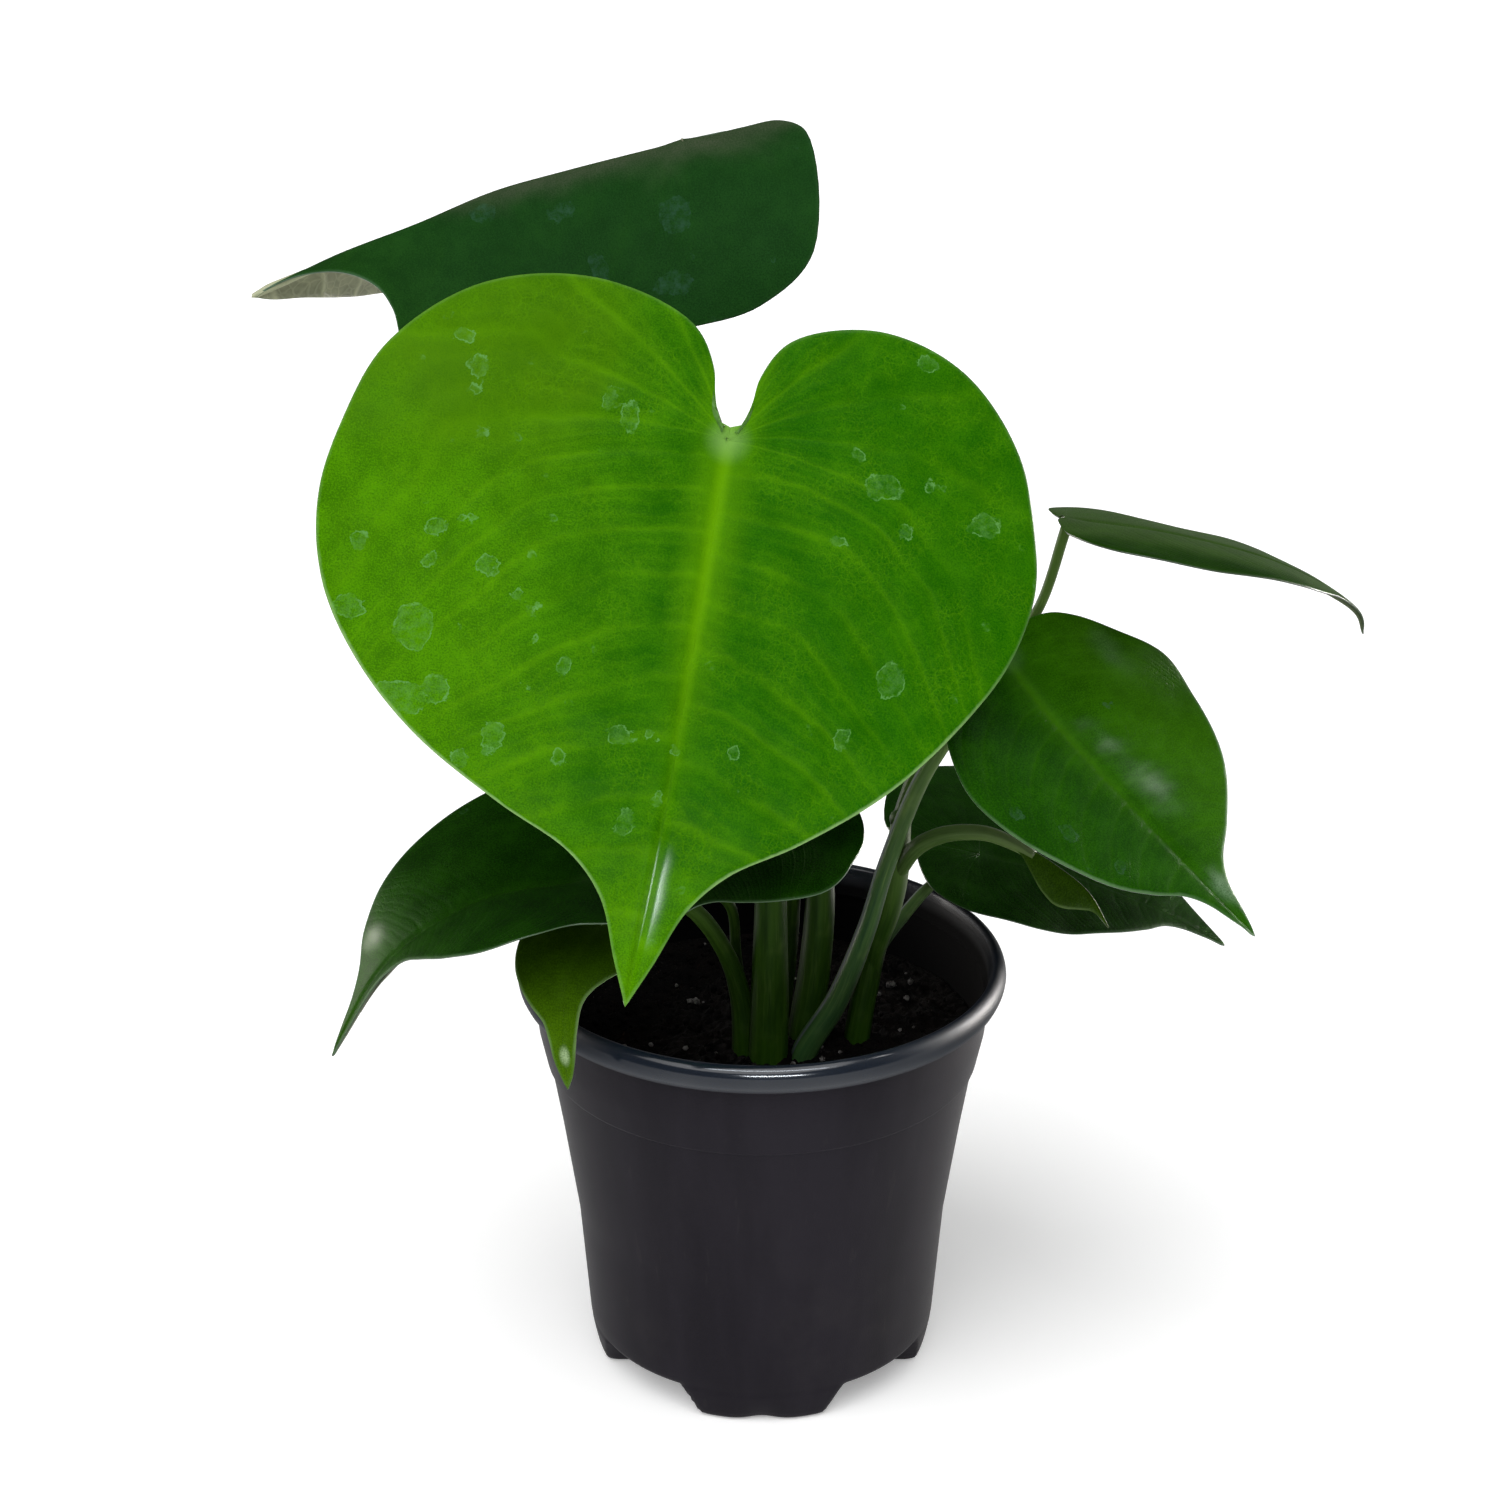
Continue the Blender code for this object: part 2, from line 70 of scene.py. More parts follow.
# The inner side under the lip, and the height of the ridge further down
INNER_TOP = [(52.6, 97.2), (52.05, 96.0), (51.7, 95.4), (52.0, 94.8)]
INNER_RIDGE = 84.6

# The soil
SOIL_DEPTH = 19.0
SOIL_MOUND = 2.5
SOIL_EDGE = 50.3
CRUMBS = 700
GRAINS = 46
STALK_CLEARANCE = 4.6

# The blades
TOP_OFFSET = 0.35
THICKNESS = 0.7
RIB_THICKNESS = 2.6
VEIN_SLANT = 0.55
LATERALS = 11
LOBE_VEIN_ANGLE = 17
QUILTING = 0.5
WAVE_SCALE = 0.045
SPINE_SAMPLES = 160

# One half of a heart-shaped blade, from the notch at the stalk to the tip: along the midrib, in blade
# lengths, or in lobe depths where it is negative; and across, in half widths
MARGIN = [
    (-0.10, 0.0), (-0.16, 0.045), (-0.50, 0.065), (-0.80, 0.14), (-1.00, 0.40), (-0.82, 0.68),
    (-0.30, 0.89), (0.08, 0.975), (0.20, 1.0), (0.33, 0.955), (0.46, 0.83), (0.58, 0.65),
    (0.68, 0.42), (0.75, 0.22), (0.82, 0.12), (0.92, 0.055), (1.0, 0.0),
]

# How far a closed notch moves each point of the margin
NOTCH_SHARES = (0, 1, 1, 1, 0.8, 0, 0, 0, 0, 0, 0, 0, 0, 0, 0, 0, 0)

# The outline of the blade at the rim, which narrows early to a broad tip, more so on its right
RIM_LEFT = {
    9: (0.34, 0.90), 10: (0.46, 0.70), 11: (0.55, 0.50), 12: (0.63, 0.31),
    13: (0.73, 0.22), 14: (0.83, 0.17), 15: (0.93, 0.08),
}
RIM_RIGHT = {
    8: (0.16, 0.95), 9: (0.26, 0.82), 10: (0.35, 0.63), 11: (0.43, 0.44), 12: (0.51, 0.31),
    13: (0.63, 0.25), 14: (0.78, 0.20), 15: (0.92, 0.11),
}

# Each blade's form, close to the model's, then how finely it is divided (rows to a margin point, columns
# to a half), the depth of its quilting and the size of its slow waves
LEAVES = {
    "leaf_front": dict(
        spine=[(-7.4, -25, 234.5), (-14, -44, 199), (-21, -62, 162), (-28.8, -75, 127)],
        half=(70, 82), lobe=(29, 29), skew=0.035, roll=24, lift=(2, 2), curl=(-8, -8), wave=1.0,
        grid=(10, 64), quilt=0.35, sway=0.7,
    ),
    "leaf_back": dict(
        spine=[
            (-17.5, 36, 285.4), (-45, 36, 278.4), (-60, 34.5, 274.4), (-77, 30.5, 268), (-95, 25.3, 262),
            (-113, 20, 254),
        ],
        half=(48, 50), lobe=(27, 13), closed=(0.8, 0.8),
        reshape=(
            {
                5: (-0.85, 0.75), 6: (-0.34, 0.92), 10: (0.56, 0.95), 11: (0.69, 0.80), 12: (0.70, 0.50),
                13: (0.728, 0.33), 14: (0.80, 0.17), 15: (0.90, 0.06),
            },
            {11: (0.58, 0.68), 12: (0.68, 0.62), 13: (0.79, 0.38), 14: (0.90, 0.14), 15: (0.968, 0.05)},
        ),
        skew=-0.1, twist=-65, turning=6, lift=(-30, -30), curl=(-42, -10), wave=1.0, grid=(8, 44), quilt=0.3,
        sway=0.6,
    ),
    "leaf_upper_right": dict(
        spine=[(66.5, 2, 208.5), (92, 2, 204.5), (117, 2, 197), (133, 2, 187), (135.2, 2, 181.5)],
        half=(29, 29), lobe=(2, 2), late=0.11, wedge=(0.12, 0.15), roll=9, curl=(-7, -7), wave=0.4,
        grid=(7, 32), quilt=0.03, sway=0.3,
    ),
    "leaf_mid_right": dict(
        spine=[(53, -14, 182), (63, -23, 171), (83, -38, 152.5), (105.8, -51, 132)],
        half=(37, 30), lobe=(5, 3), closed=(0.3, 0), late=0.07, wedge=(0.24, 0.18), roll=-12, lift=(4, 4),
        curl=(-10, -10), wave=0.8, grid=(8, 36), quilt=0.28, sway=0.4,
    ),
    "leaf_low_right": dict(
        spine=[(52, 24, 117), (73, 24, 112), (94, 22, 104), (111.5, 20, 95)],
        half=(49, 24), lobe=(23, 15), closed=(1, 1),
        reshape=({13: (0.76, 0.30), 14: (0.84, 0.19), 15: (0.93, 0.08)}, {}), roll=-9, curl=(-10, -10),
        wave=0.6, grid=(7, 30), quilt=0.2, sway=0.4,
    ),
    "leaf_young": dict(
        spine=[(56.5, -15, 138.3), (65, -18, 134), (73, -22, 128.5), (77.5, -25, 121.3)],
        half=(9.5, 9.5), lobe=(0.6, 0.6), late=0.1, wedge=(0.6, 0.8), lift=(-50, -50), curl=(-10, -10),
        wave=0.2, grid=(6, 16), quilt=0.05, sway=0.1,
    ),
    "leaf_left": dict(
        spine=[(-38, -27, 134), (-62, -31, 131), (-82, -36, 119), (-96, -40, 97)],
        half=(30, 34), lobe=(12, 12),
        reshape=(
            {
                7: (0.08, 0.85), 8: (0.20, 0.93), 9: (0.31, 0.94), 10: (0.40, 0.87), 11: (0.49, 0.68),
                12: (0.56, 0.42), 13: (0.61, 0.24), 14: (0.70, 0.13),
            },
            {7: (0.06, 1.10), 8: (0.18, 1.14), 9: (0.32, 1.04), 10: (0.46, 0.86)},
        ),
        roll=8, lift=(13, 6), curl=(-1, -2), wave=0.6, grid=(8, 36), quilt=0.06, sway=0.3,
    ),
    "leaf_rim": dict(
        spine=[(-36, -34, 126), (-42, -44, 120), (-43.5, -50, 109), (-42.7, -52, 95)],
        half=(14.5, 15.5), lobe=(4, 4), reshape=(RIM_RIGHT, RIM_LEFT), curl=(0, 0), wave=0.2, grid=(7, 22),
        quilt=0.08, sway=0.15,
    ),
    "leaf_centre": dict(
        spine=[(3, -28, 151), (-4, -34, 145.5), (-12, -41, 140), (-20, -48, 134)],
        half=(28, 22), lobe=(10, 10), curl=(-5, -5), wave=0.4, grid=(7, 28), quilt=0.15, sway=0.3,
    ),
}

# Dried water marks: how far across and along the blade, and their radius
WATER_MARKS = {
    "leaf_front": [
        (58, -12, 2), (54, -6, 2.5), (54, -1, 1.5), (51, 8, 1.5), (26, -4, 2), (21, -1, 2.5), (57, 29, 2),
        (72, 34, 2), (57, 36, 1.5), (45, 35, 2.5), (51, 26, 1.5), (38, 40, 1.5), (34, 42, 1.5), (72, 48, 3),
        (58, 50, 4.5), (48, 48, 1), (33, 48, 1), (58, 65, 4.5), (51, 62, 3), (26, 53, 2), (33, 58, 1),
        (38, 70, 3), (44, 76, 2), (24, 72, 1.5), (12, 65, 2.5), (6, 64, 1.5), (8, 83, 2.5), (2, 76, 1),
        (0, 66, 1), (-34, 4, 3.5), (-28, -2, 1.5), (-44, 2, 1.5), (-40, 12, 1.5), (-27, 17, 1.5),
        (-57, 8, 3), (-39, -24, 2), (-42, 44, 3.5), (-34, 58, 2), (-12, 65, 1.5), (-16, 72, 1),
    ],
    "leaf_back": [(-20, 5, 4), (-12, 30, 3), (-28, 24, 3), (-36, 8, 3.5), (-6, 48, 3), (-34, 40, 2.5)],
    "leaf_mid_right": [(18, 40, 2), (14, 52, 1.5), (20, 56, 1.5), (-14, 22, 1.5), (24, 30, 1.5)],
}

# Each stalk: the blade that it carries, its radius at the soil, halfway and at the blade, and its route up
# from the soil, below which it goes on for as far as it is buried
BURIED = 6
STALKS = {
    "petiole_front": (
        "leaf_front", (4.6, 2.9, 1.9),
        [(1, -17, 84), (1.5, -17, 104), (1.5, -15, 130), (-1, -6, 170), (-4, -4, 205), (-6, -12, 222)],
    ),
    "petiole_back": (
        "leaf_back", (3.8, 2.7, 1.8),
        [(9.5, -8, 84), (12, -8, 103), (13, -6, 124), (8, 3, 165), (-7, 16, 212), (-19, 25, 254)],
    ),
    "petiole_left": (
        "leaf_left", (3.2, 2.1, 1.5),
        [(-4, -14.5, 84), (-5, -14.5, 98), (-8.7, -16, 111), (-16.5, -20, 124), (-28, -24, 130.5)],
    ),
    "petiole_rim": (
        "leaf_rim", (1.5, 1.3, 1.1),
        [(-4, -7, 84), (-6, -9, 106), (-8, -11, 121), (-17, -14, 126.5), (-27, -23, 124)],
    ),
    "petiole_centre": (
        "leaf_centre", (2.4, 1.8, 1.4),
        [(4, -1.5, 84), (6, -2, 102), (7, -4, 118), (6, -13, 138)],
    ),
    "petiole_mid_right": (
        "leaf_mid_right", (2.9, 2.1, 1.6),
        [(9.4, -17.5, 85), (17, -17, 99), (23.5, -15.5, 116), (28, -13, 131), (36, -9, 151), (45, -7, 165)],
    ),
    "stem_right": (
        "leaf_upper_right", (3.0, 1.7, 1.2),
        [(22, -8, 84), (25.5, -7, 106), (29, -6, 122), (31.5, -4, 140), (38, 0, 155), (52, 3, 173),
         (61.5, 2, 187)],
    ),
    "petiole_low_right": (
        "leaf_low_right", (1.9, 1.6, 1.2),
        [(24, 2, 84), (27, 3, 101), (34, 9, 109), (41, 15, 114)],
    ),
}
SHEATH_ROUTE = [(24.5, -7.2, 96), (26, -7, 108), (28.5, -6.5, 117), (30.2, -6.5, 127), (31.5, -5.5, 139)]
SHEATH_RADII = (2.3, 2.8, 3.5, 3.5, 2.2)
YOUNG_ROUTE = [(30.5, -7, 126), (35, -10.5, 134.5), (40, -12, 138), (45.5, -13, 139.3), (51, -14, 139.2)]
YOUNG_RADII = (2.0, 2.0, 1.9, 1.7, 1.3)

# Each stalk's darker, plain and paler green, and how far a violet line shows on it
STALK_LOOKS = {
    "pale green stalk": ((0.011, 0.037, 0.002), (0.030, 0.078, 0.005), (0.095, 0.17, 0.035), 0.0),
    "blue-green stalk": ((0.016, 0.050, 0.015), (0.044, 0.100, 0.026), (0.15, 0.235, 0.062), 0.6),
    "young leaf stalk": ((0.030, 0.062, 0.012), (0.062, 0.108, 0.028), (0.12, 0.18, 0.06), 0.0),
}

# How far down the camera looks, in degrees
LOOK_DOWN = 22.48

# Each lamp: its place, target, size, power and colour
LAMPS = {
    "left strip": ((-0.85, 0.35, 0.2), (0, 0, 0.08), (0.3, 0.8), 36.0, (1.0, 0.94, 0.88)),
    "right strip": ((0.85, 0.35, 0.12), (0, 0, 0.06), (0.3, 0.7), 150.0, (1.0, 0.95, 0.90)),
    "high right window": ((0.76, -0.03, 1.14), (0.07, -0.03, 0.16), (0.3, 0.2), 4.0, (1, 1, 1)),
    "upper front strip": ((0, -0.573, 1.07), (0, -0.057, 0.1), (0.9, 0.06), 5.0, (0.85, 0.92, 1.0)),
    "lower front strip": ((0.1, -1.1, 0.44), (0, -0.057, 0.1), (0.5, 0.05), 8.0, (0.9, 0.95, 1.0)),
}


def spans(points):
    """The distances from each point to the next."""
    return np.linalg.norm(np.diff(points, axis=0), axis=1)


def knot_samples(points, steps):
    """A smooth curve through the points, with the same number of steps between each two of them."""
    points = np.array(points, float)
    knots = np.concatenate([[0], np.cumsum(spans(points) ** 0.5)])
    slopes = np.gradient(points, knots, axis=0)
    places = []
    for i, span in enumerate(np.diff(knots)):
        t = np.arange(steps)[:, None] / steps
        places.append(
            (2 * t**3 - 3 * t**2 + 1) * points[i]
            + (t**3 - 2 * t**2 + t) * span * slopes[i]
            + (3 * t**2 - 2 * t**3) * points[i + 1]
            + (t**3 - t**2) * span * slopes[i + 1]
        )
    return np.concatenate([*places, points[-1:]])


def smooth_route(points, samples):
    """The same curve, as evenly spaced samples."""
    dense = knot_samples(points, 40)
    lengths = np.concatenate([[0], np.cumsum(spans(dense))])
    even = np.linspace(0, lengths[-1], samples)
    return np.stack([np.interp(even, lengths, axis) for axis in dense.T], axis=1)


def carried_frames(points, across):
    """Directions along a route, and those across it and above it, carried along without twist."""
    tangents = np.gradient(points, axis=0)
    tangents /= np.linalg.norm(tangents, axis=1)[:, None]
    acrosses = []
    for tangent in tangents:
        across = across - tangent * (across @ tangent)
        across = across / np.linalg.norm(across)
        acrosses.append(across)
    acrosses = np.array(acrosses)
    return tangents, acrosses, np.cross(acrosses, tangents)


def smooth_step(low, high, values):
    share = np.clip((values - low) / (high - low), 0, 1)
    return share * share * (3 - 2 * share)


def hill(values, centre, width):
    """1 at the centre, falling away to both sides."""
    return np.exp(-(((values - centre) / width) ** 2))


class Blade:
    """The middle surface of a blade, bent from its flat outline."""

    def __init__(
        self, spine, half, lobe, curl, wave, grid, quilt, sway, roll=0, twist=0, lift=(0, 0), **outline
    ):
        self.points = smooth_route(spine, SPINE_SAMPLES)
        self.length = spans(self.points).sum()
        self.half = np.array(half, float)
        self.lobe = lobe
        self.skew = outline.get("skew", 0)
        self.closed = outline.get("closed", (0, 0))
        self.reshape = outline.get("reshape", ({}, {}))
        self.late = outline.get("late", 0)
        self.wedge = outline.get("wedge")
        self.lift, self.curl = np.radians(lift), np.radians(curl)
        self.rows, self.columns = grid
        self.wave, self.quilt, self.sway = wave, quilt, sway
        first = self.points[1] - self.points[0]
        first /= np.linalg.norm(first)
        across = np.cross(first, (0, 0, 1))
        across /= np.linalg.norm(across)
        above = np.cross(across, first)
        across = across * math.cos(math.radians(roll)) + above * math.sin(math.radians(roll))
        self.tangents, across, above = carried_frames(self.points, across)
        run = np.linspace(0, 1, len(self.points))[:, None]
        turn = math.radians(twist) * run ** outline.get("turning", 1)
        self.across = across * np.cos(turn) + above * np.sin(turn)
        self.above = np.cross(self.across, self.tangents)

    def at(self, values, along):
        """Values given along the spine, at each point."""
        even = np.linspace(0, self.length, len(values))
        return np.stack([np.interp(np.maximum(along, 0), even, axis) for axis in values.T], axis=-1)

    def place(self, along, across, height):
        """Places in space of points of the flat outline, raised off it by a height."""
        side = (across >= 0).astype(int)
        reach = np.abs(across)
        half = self.half[side]
        bend = self.curl[side] / half
        bend = np.where(np.abs(bend) < 1e-6, 1e-6, bend)
        start = self.lift[side]
        angle = start + bend * reach
        sideways = (np.sin(angle) - np.sin(start)) / bend - np.sin(angle) * height
        upward = (np.cos(start) - np.cos(angle)) / bend + np.cos(angle) * height
        upward += self.wave * np.sin(4 * math.pi * along / self.length) * (reach / half) ** 2
        direction = np.where(side == 1, 1.0, -1.0)
        places = self.at(self.points, along) + self.tangents[0] * np.minimum(along, 0)[..., None]
        places = places + self.at(self.across, along) * (sideways * direction)[..., None]
        return places + self.at(self.above, along) * upward[..., None]

    def margin(self, side):
        """One half's flat outline, and the midrib points from which its lines run out."""
        mean = self.half.mean()
        lobe = self.lobe[side]
        outline = []
        for i, shut in enumerate(NOTCH_SHARES):
            a, b = self.reshape[side].get(i, MARGIN[i])
            b *= 1 - shut * self.closed[side]
            a = a * lobe if a < 0 else (a + self.late * math.sin(math.pi * a)) * self.length
            if self.wedge:
                b *= np.clip(a / self.length / self.wedge[0], 0.1, 1) ** self.wedge[1]
            outline.append((a, b * mean, 0))
        outline[0] = (MARGIN[0][0] * min(self.lobe), 0, 0)
        along, across, _ = knot_samples(outline, self.rows).T
        root = np.clip(along - VEIN_SLANT * across, 0, self.length)
        share = np.clip(along / self.length, 0, 1)
        shift = self.skew * self.length * np.sin(math.pi * share) * (1 if side else -1)
        return root, along + shift * across / mean, across * self.half[side] / mean

    def bends(self, root, along, across):
        """Where the lines turn: they fan out from the stalk into the lobes, and are straight elsewhere."""
        reach = np.hypot(along - root, across)
        angle = np.arctan2(across, along - root)
        last = np.flatnonzero(root <= 0).max()
        fan = np.interp(np.arange(len(root)), (0, self.rows, last), (math.pi, math.radians(150), angle[last]))
        angle = np.where(root <= 0, fan, angle)
        return root + 0.5 * reach * np.cos(angle), 0.5 * reach * np.sin(angle)

    def flat_grid(self):
        """Along and across for each point of a grid over the blade, and the distance to the margin."""
        step = np.linspace(0, 1, self.columns + 1)
        run = 0.5 * (1 - np.cos(math.pi * step)) * 0.75 + step * 0.25
        halves = []
        for side in (0, 1):
            root, along, across = self.margin(side)
            ends = [root, *self.bends(root, along, across), along, across]
            root, bend_along, bend_across, along, across = (values[:, None] for values in ends)
            reach = np.hypot(along - root, across)
            first, second, third = (1 - run) ** 2, 2 * run * (1 - run), run**2
            outward = (second * bend_across + third * across) * (1 if side else -1)
            halves.append((first * root + second * bend_along + third * along, outward, reach * (1 - run)))
        left, right = halves
        return [np.concatenate([one[:, :0:-1], other], axis=1) for one, other in zip(left, right)]

    def veins(self, along, across):
        """How many side veins a point lies on from the stalk: whole numbers are on a vein."""
        side = (across >= 0).astype(int)
        reach = np.abs(across)
        bow = 0.34 + 0.55 * smooth_step(-0.08, 0.5, along / self.length)
        rise = along - bow * reach**2 / self.half[side]
        lobes = np.degrees(np.arctan2(rise, reach + 0.01)) / LOBE_VEIN_ANGLE
        down = LATERALS * np.clip(rise / self.length, 0, 1) ** 0.8
        return np.where(rise > 0, down, lobes) + 0.4 * side


def lay_grid(places, channels=None, maps=None):
    """A sheet of quads whose corners lie at the places, with values for its points and its own maps."""
    rows, columns = places.shape[:2]
    bm = bmesh.new()
    bmesh.ops.create_grid(bm, x_segments=columns - 1, y_segments=rows - 1, size=1)
    layers = {key: bm.verts.layers.float.new(key) for key in channels or {}}
    cells = {}
    for vert in bm.verts:
        column = round((vert.co.x + 1) / 2 * (columns - 1))
        row = round((vert.co.y + 1) / 2 * (rows - 1))
        cells[vert] = (row, column)
        vert.co = places[row, column] * MM
        for key, layer in layers.items():
            vert[layer] = channels[key][row, column]
    for key, (first, second) in (maps or {}).items():
        layer = bm.loops.layers.uv.new(key)
        for face in bm.faces:
            for loop in face.loops:
                cell = cells[loop.vert]
                loop[layer].uv = (first[cell], second[cell])
    return bm


def close_seams(bm, distance=0.00001):
    bmesh.ops.remove_doubles(bm, verts=bm.verts, dist=distance)
    bmesh.ops.dissolve_degenerate(bm, edges=bm.edges, dist=distance)


def mesh_of(name, bm):
    mesh = bpy.data.meshes.new(name)
    bm.to_mesh(mesh)
    bm.free()
    return mesh


def add_object(name, data):
    thing = bpy.data.objects.new(name, data)
    bpy.context.scene.collection.objects.link(thing)
    return thing


def finish_piece(name, bm, node, materials, sharp=None):
    """Makes the object, gives it its finishes, and lets it stand for its node."""
    mesh = mesh_of(name, bm)
    for material in materials:
        mesh.materials.append(material)
    mesh.shade_smooth()
    if sharp:
        mesh.set_sharp_from_angle(angle=math.radians(sharp))
    piece = add_object(name, mesh)
    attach(piece, "root")
    if node:
        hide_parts(node)
    return piece


class Value:
    """A shader socket that takes part in Python sums."""

    def __init__(self, graph, socket):
        self.graph = graph
        self.socket = socket

    def math(self, operation, *others, clamp=False):
        settings = {"operation": operation, "use_clamp": clamp}
        return self.graph.add("ShaderNodeMath", settings, dict(enumerate([self, *others])))

    def __add__(self, other):
        return self.math("ADD", other)

    def __sub__(self, other):
        return self.math("SUBTRACT", other)

    def __rsub__(self, other):
        return self.graph.add("ShaderNodeMath", {"operation": "SUBTRACT"}, {0: other, 1: self})

    def __mul__(self, other):
        return self.math("MULTIPLY", other)

    def __truediv__(self, other):
        return self.math("DIVIDE", other)

    __radd__ = __add__
    __rmul__ = __mul__

    def clamped(self):
        return self.math("ADD", 0.0, clamp=True)

    def either(self, other):
        return self.math("MAXIMUM", other)


class Finish:
    """A material, with the shader sums that make its colour, gloss and relief."""

    def __init__(self, name, **constants):
        self.material = bpy.data.materials.new(name)
        self.material.use_nodes = True
        self.nodes = self.material.node_tree.nodes
        self.links = self.material.node_tree.links
        self.shader = self.nodes["Principled BSDF"]
        for key, value in constants.items():
            self.shader.inputs[key.replace("_", " ")].default_value = value

    def add(self, kind, settings=None, inputs=None, out=0):
        """Adds a node, sets it up, feeds its sockets and gives one of its outputs."""
        node = self.nodes.new(kind)
        for key, value in (settings or {}).items():
            setattr(node, key, value)
        for key, value in (inputs or {}).items():
            self.feed(node.inputs[key], value)
        return Value(self, node.outputs[out])

    def feed(self, socket, value):
        if isinstance(value, Value):
            self.links.new(value.socket, socket)
        elif socket.type == "RGBA":
            socket.default_value = (*value, 1.0)
        else:
            socket.default_value = value

    def channel(self, name):
        return self.add("ShaderNodeAttribute", {"attribute_name": name}, out="Fac")

    def map(self, name):
        return self.add("ShaderNodeUVMap", {"uv_map": name})

    def object_place(self):
        return self.add("ShaderNodeTexCoord", out="Object")

    def part(self, vector, axis):
        return self.add("ShaderNodeSeparateXYZ", inputs={0: vector}, out=axis)

    def vector(self, operation, first, second, slot=1):
        return self.add("ShaderNodeVectorMath", {"operation": operation}, {0: first, slot: second})

    def clouds(self, vector, scale, detail=3.0, rough=0.55, out=0):
        inputs = {"Vector": vector, "Scale": scale, "Detail": detail, "Roughness": rough}
        return self.add("ShaderNodeTexNoise", None, inputs, out)

    def streaks(self, vector, scales, detail=3.0, rough=0.55):
        """Noise with its own scale each way."""
        return self.clouds(self.vector("MULTIPLY", vector, scales), 1.0, detail, rough)

    def cells(self, vector, scale, feature="DISTANCE_TO_EDGE"):
        inputs = {"Vector": vector, "Scale": scale}
        return self.add("ShaderNodeTexVoronoi", {"feature": feature}, inputs, out="Distance")

    def warp(self, vector, scale, amount):
        """The vector pushed about by noise."""
        push = self.clouds(vector, scale, 2.0, 0.5, out="Color")
        centred = self.vector("SUBTRACT", push, (0.5, 0.5, 0.5))
        return self.vector("ADD", vector, self.vector("SCALE", centred, amount, "Scale"))

    def step(self, value, low, high):
        """0 below low and 1 above high."""
        settings = {"interpolation_type": "SMOOTHSTEP"}
        return self.add("ShaderNodeMapRange", settings, {"Value": value, "From Min": low, "From Max": high})

    def fall(self, value, low, high):
        """1 below low and 0 above high."""
        return 1.0 - self.step(value, low, high)

    def line(self, count, width):
        """1 where the count is a whole number, falling to 0 at this part of the way to half."""
        offset = (count - count.math("ROUND")).math("ABSOLUTE")
        return self.fall(offset, 0.0, width)

    def blend(self, share, one, other):
        inputs = {0: share, 6: one, 7: other}
        return self.add("ShaderNodeMix", {"data_type": "RGBA"}, inputs, out=2)

    def over(self, colour, *layers):
        """The colour under layers, each with its share and its own colour."""
        for share, tint in layers:
            colour = self.blend(share, colour, tint)
        return colour

    def put(self, **sockets):
        for key, value in sockets.items():
            self.feed(self.shader.inputs[key.replace("_", " ")], value)

    def relief(self, height, depth):
        """Bumps as high as depth, in metres, where the height is 1."""
        inputs = {"Height": height, "Distance": depth, "Strength": 1.0}
        self.put(Normal=self.add("ShaderNodeBump", None, inputs, out="Normal"))


# Each look's colours. The light colour is painted light; the tint_and_highlight colour is a wax tint on the
# bright blade, a painted sheen on the back blade and a painted highlight on the glossy and olive blades.
BRIGHT = dict(
    deep=(0.0085, 0.084, 0.0001), plain=(0.023, 0.135, 0.0002), light=(0.080, 0.275, 0.0004),
    vein=(0.130, 0.360, 0.0008), rib=(0.125, 0.33, 0.0008), edge=(0.30, 0.50, 0.18), mark=(0.13, 0.33, 0.09),
    tint_and_highlight=(0.050, 0.135, 0.0004), under=(0.09, 0.22, 0.04), gloss=0.38, level=0.009, veined=0.8, ribbed=0.65,
    streaky=0.2, rimmed=0.7, net=1.0, film=0.28,
)
DARK = dict(
    deep=(0.0024, 0.017, 0.0002), plain=(0.0075, 0.045, 0.0004), light=(0.019, 0.080, 0.0008),
    vein=(0.014, 0.062, 0.002), rib=(0.018, 0.070, 0.003), edge=(0.05, 0.11, 0.04), mark=(0.035, 0.09, 0.045),
    tint_and_highlight=(0.004, 0.030, 0.0004), under=(0.13, 0.145, 0.10), gloss=0.40, level=0.007, veined=0.15, ribbed=0.2,
    streaky=0.8, rimmed=0.5, net=0.3, film=0.3,
)
GLOSSY = dict(
    DARK, deep=(0.0045, 0.036, 0.0002), plain=(0.0115, 0.072, 0.0004), light=(0.038, 0.150, 0.0008),
    vein=(0.040, 0.150, 0.002), rib=(0.050, 0.170, 0.004), edge=(0.12, 0.22, 0.10), tint_and_highlight=(0.13, 0.22, 0.12),
    gloss=0.34, level=0.006, veined=0.6, ribbed=0.4,
)
BACK = dict(
    DARK, deep=(0.0055, 0.032, 0.005), plain=(0.0095, 0.050, 0.008), light=(0.018, 0.076, 0.006),
    edge=(0.06, 0.13, 0.06), mark=(0.028, 0.080, 0.048), tint_and_highlight=(0.060, 0.066, 0.045),
    under=(0.27, 0.285, 0.180), rimmed=0.15, veined=0.2, ribbed=0.05, film=0.6,
)
OLIVE = dict(
    DARK, deep=(0.015, 0.042, 0.0003), plain=(0.026, 0.068, 0.0005), light=(0.060, 0.15, 0.001),
    vein=(0.04, 0.105, 0.002), rib=(0.05, 0.12, 0.006), edge=(0.14, 0.24, 0.08), under=(0.09, 0.15, 0.05),
    tint_and_highlight=(0.42, 0.56, 0.32), gloss=0.3, level=0.02, veined=0.05, ribbed=0.1,
)
YOUNG = dict(
    OLIVE, deep=(0.014, 0.040, 0.001), plain=(0.030, 0.074, 0.002), light=(0.055, 0.120, 0.006),
    edge=(0.12, 0.20, 0.06),
)
AWAY = dict(
    deep=(0.006, 0.026, 0.001), plain=(0.011, 0.042, 0.002), light=(0.040, 0.085, 0.017),
    edge=(0.028, 0.060, 0.018), under=(0.05, 0.07, 0.03), gloss=0.5, level=0.004, ribbed=0.0,
)
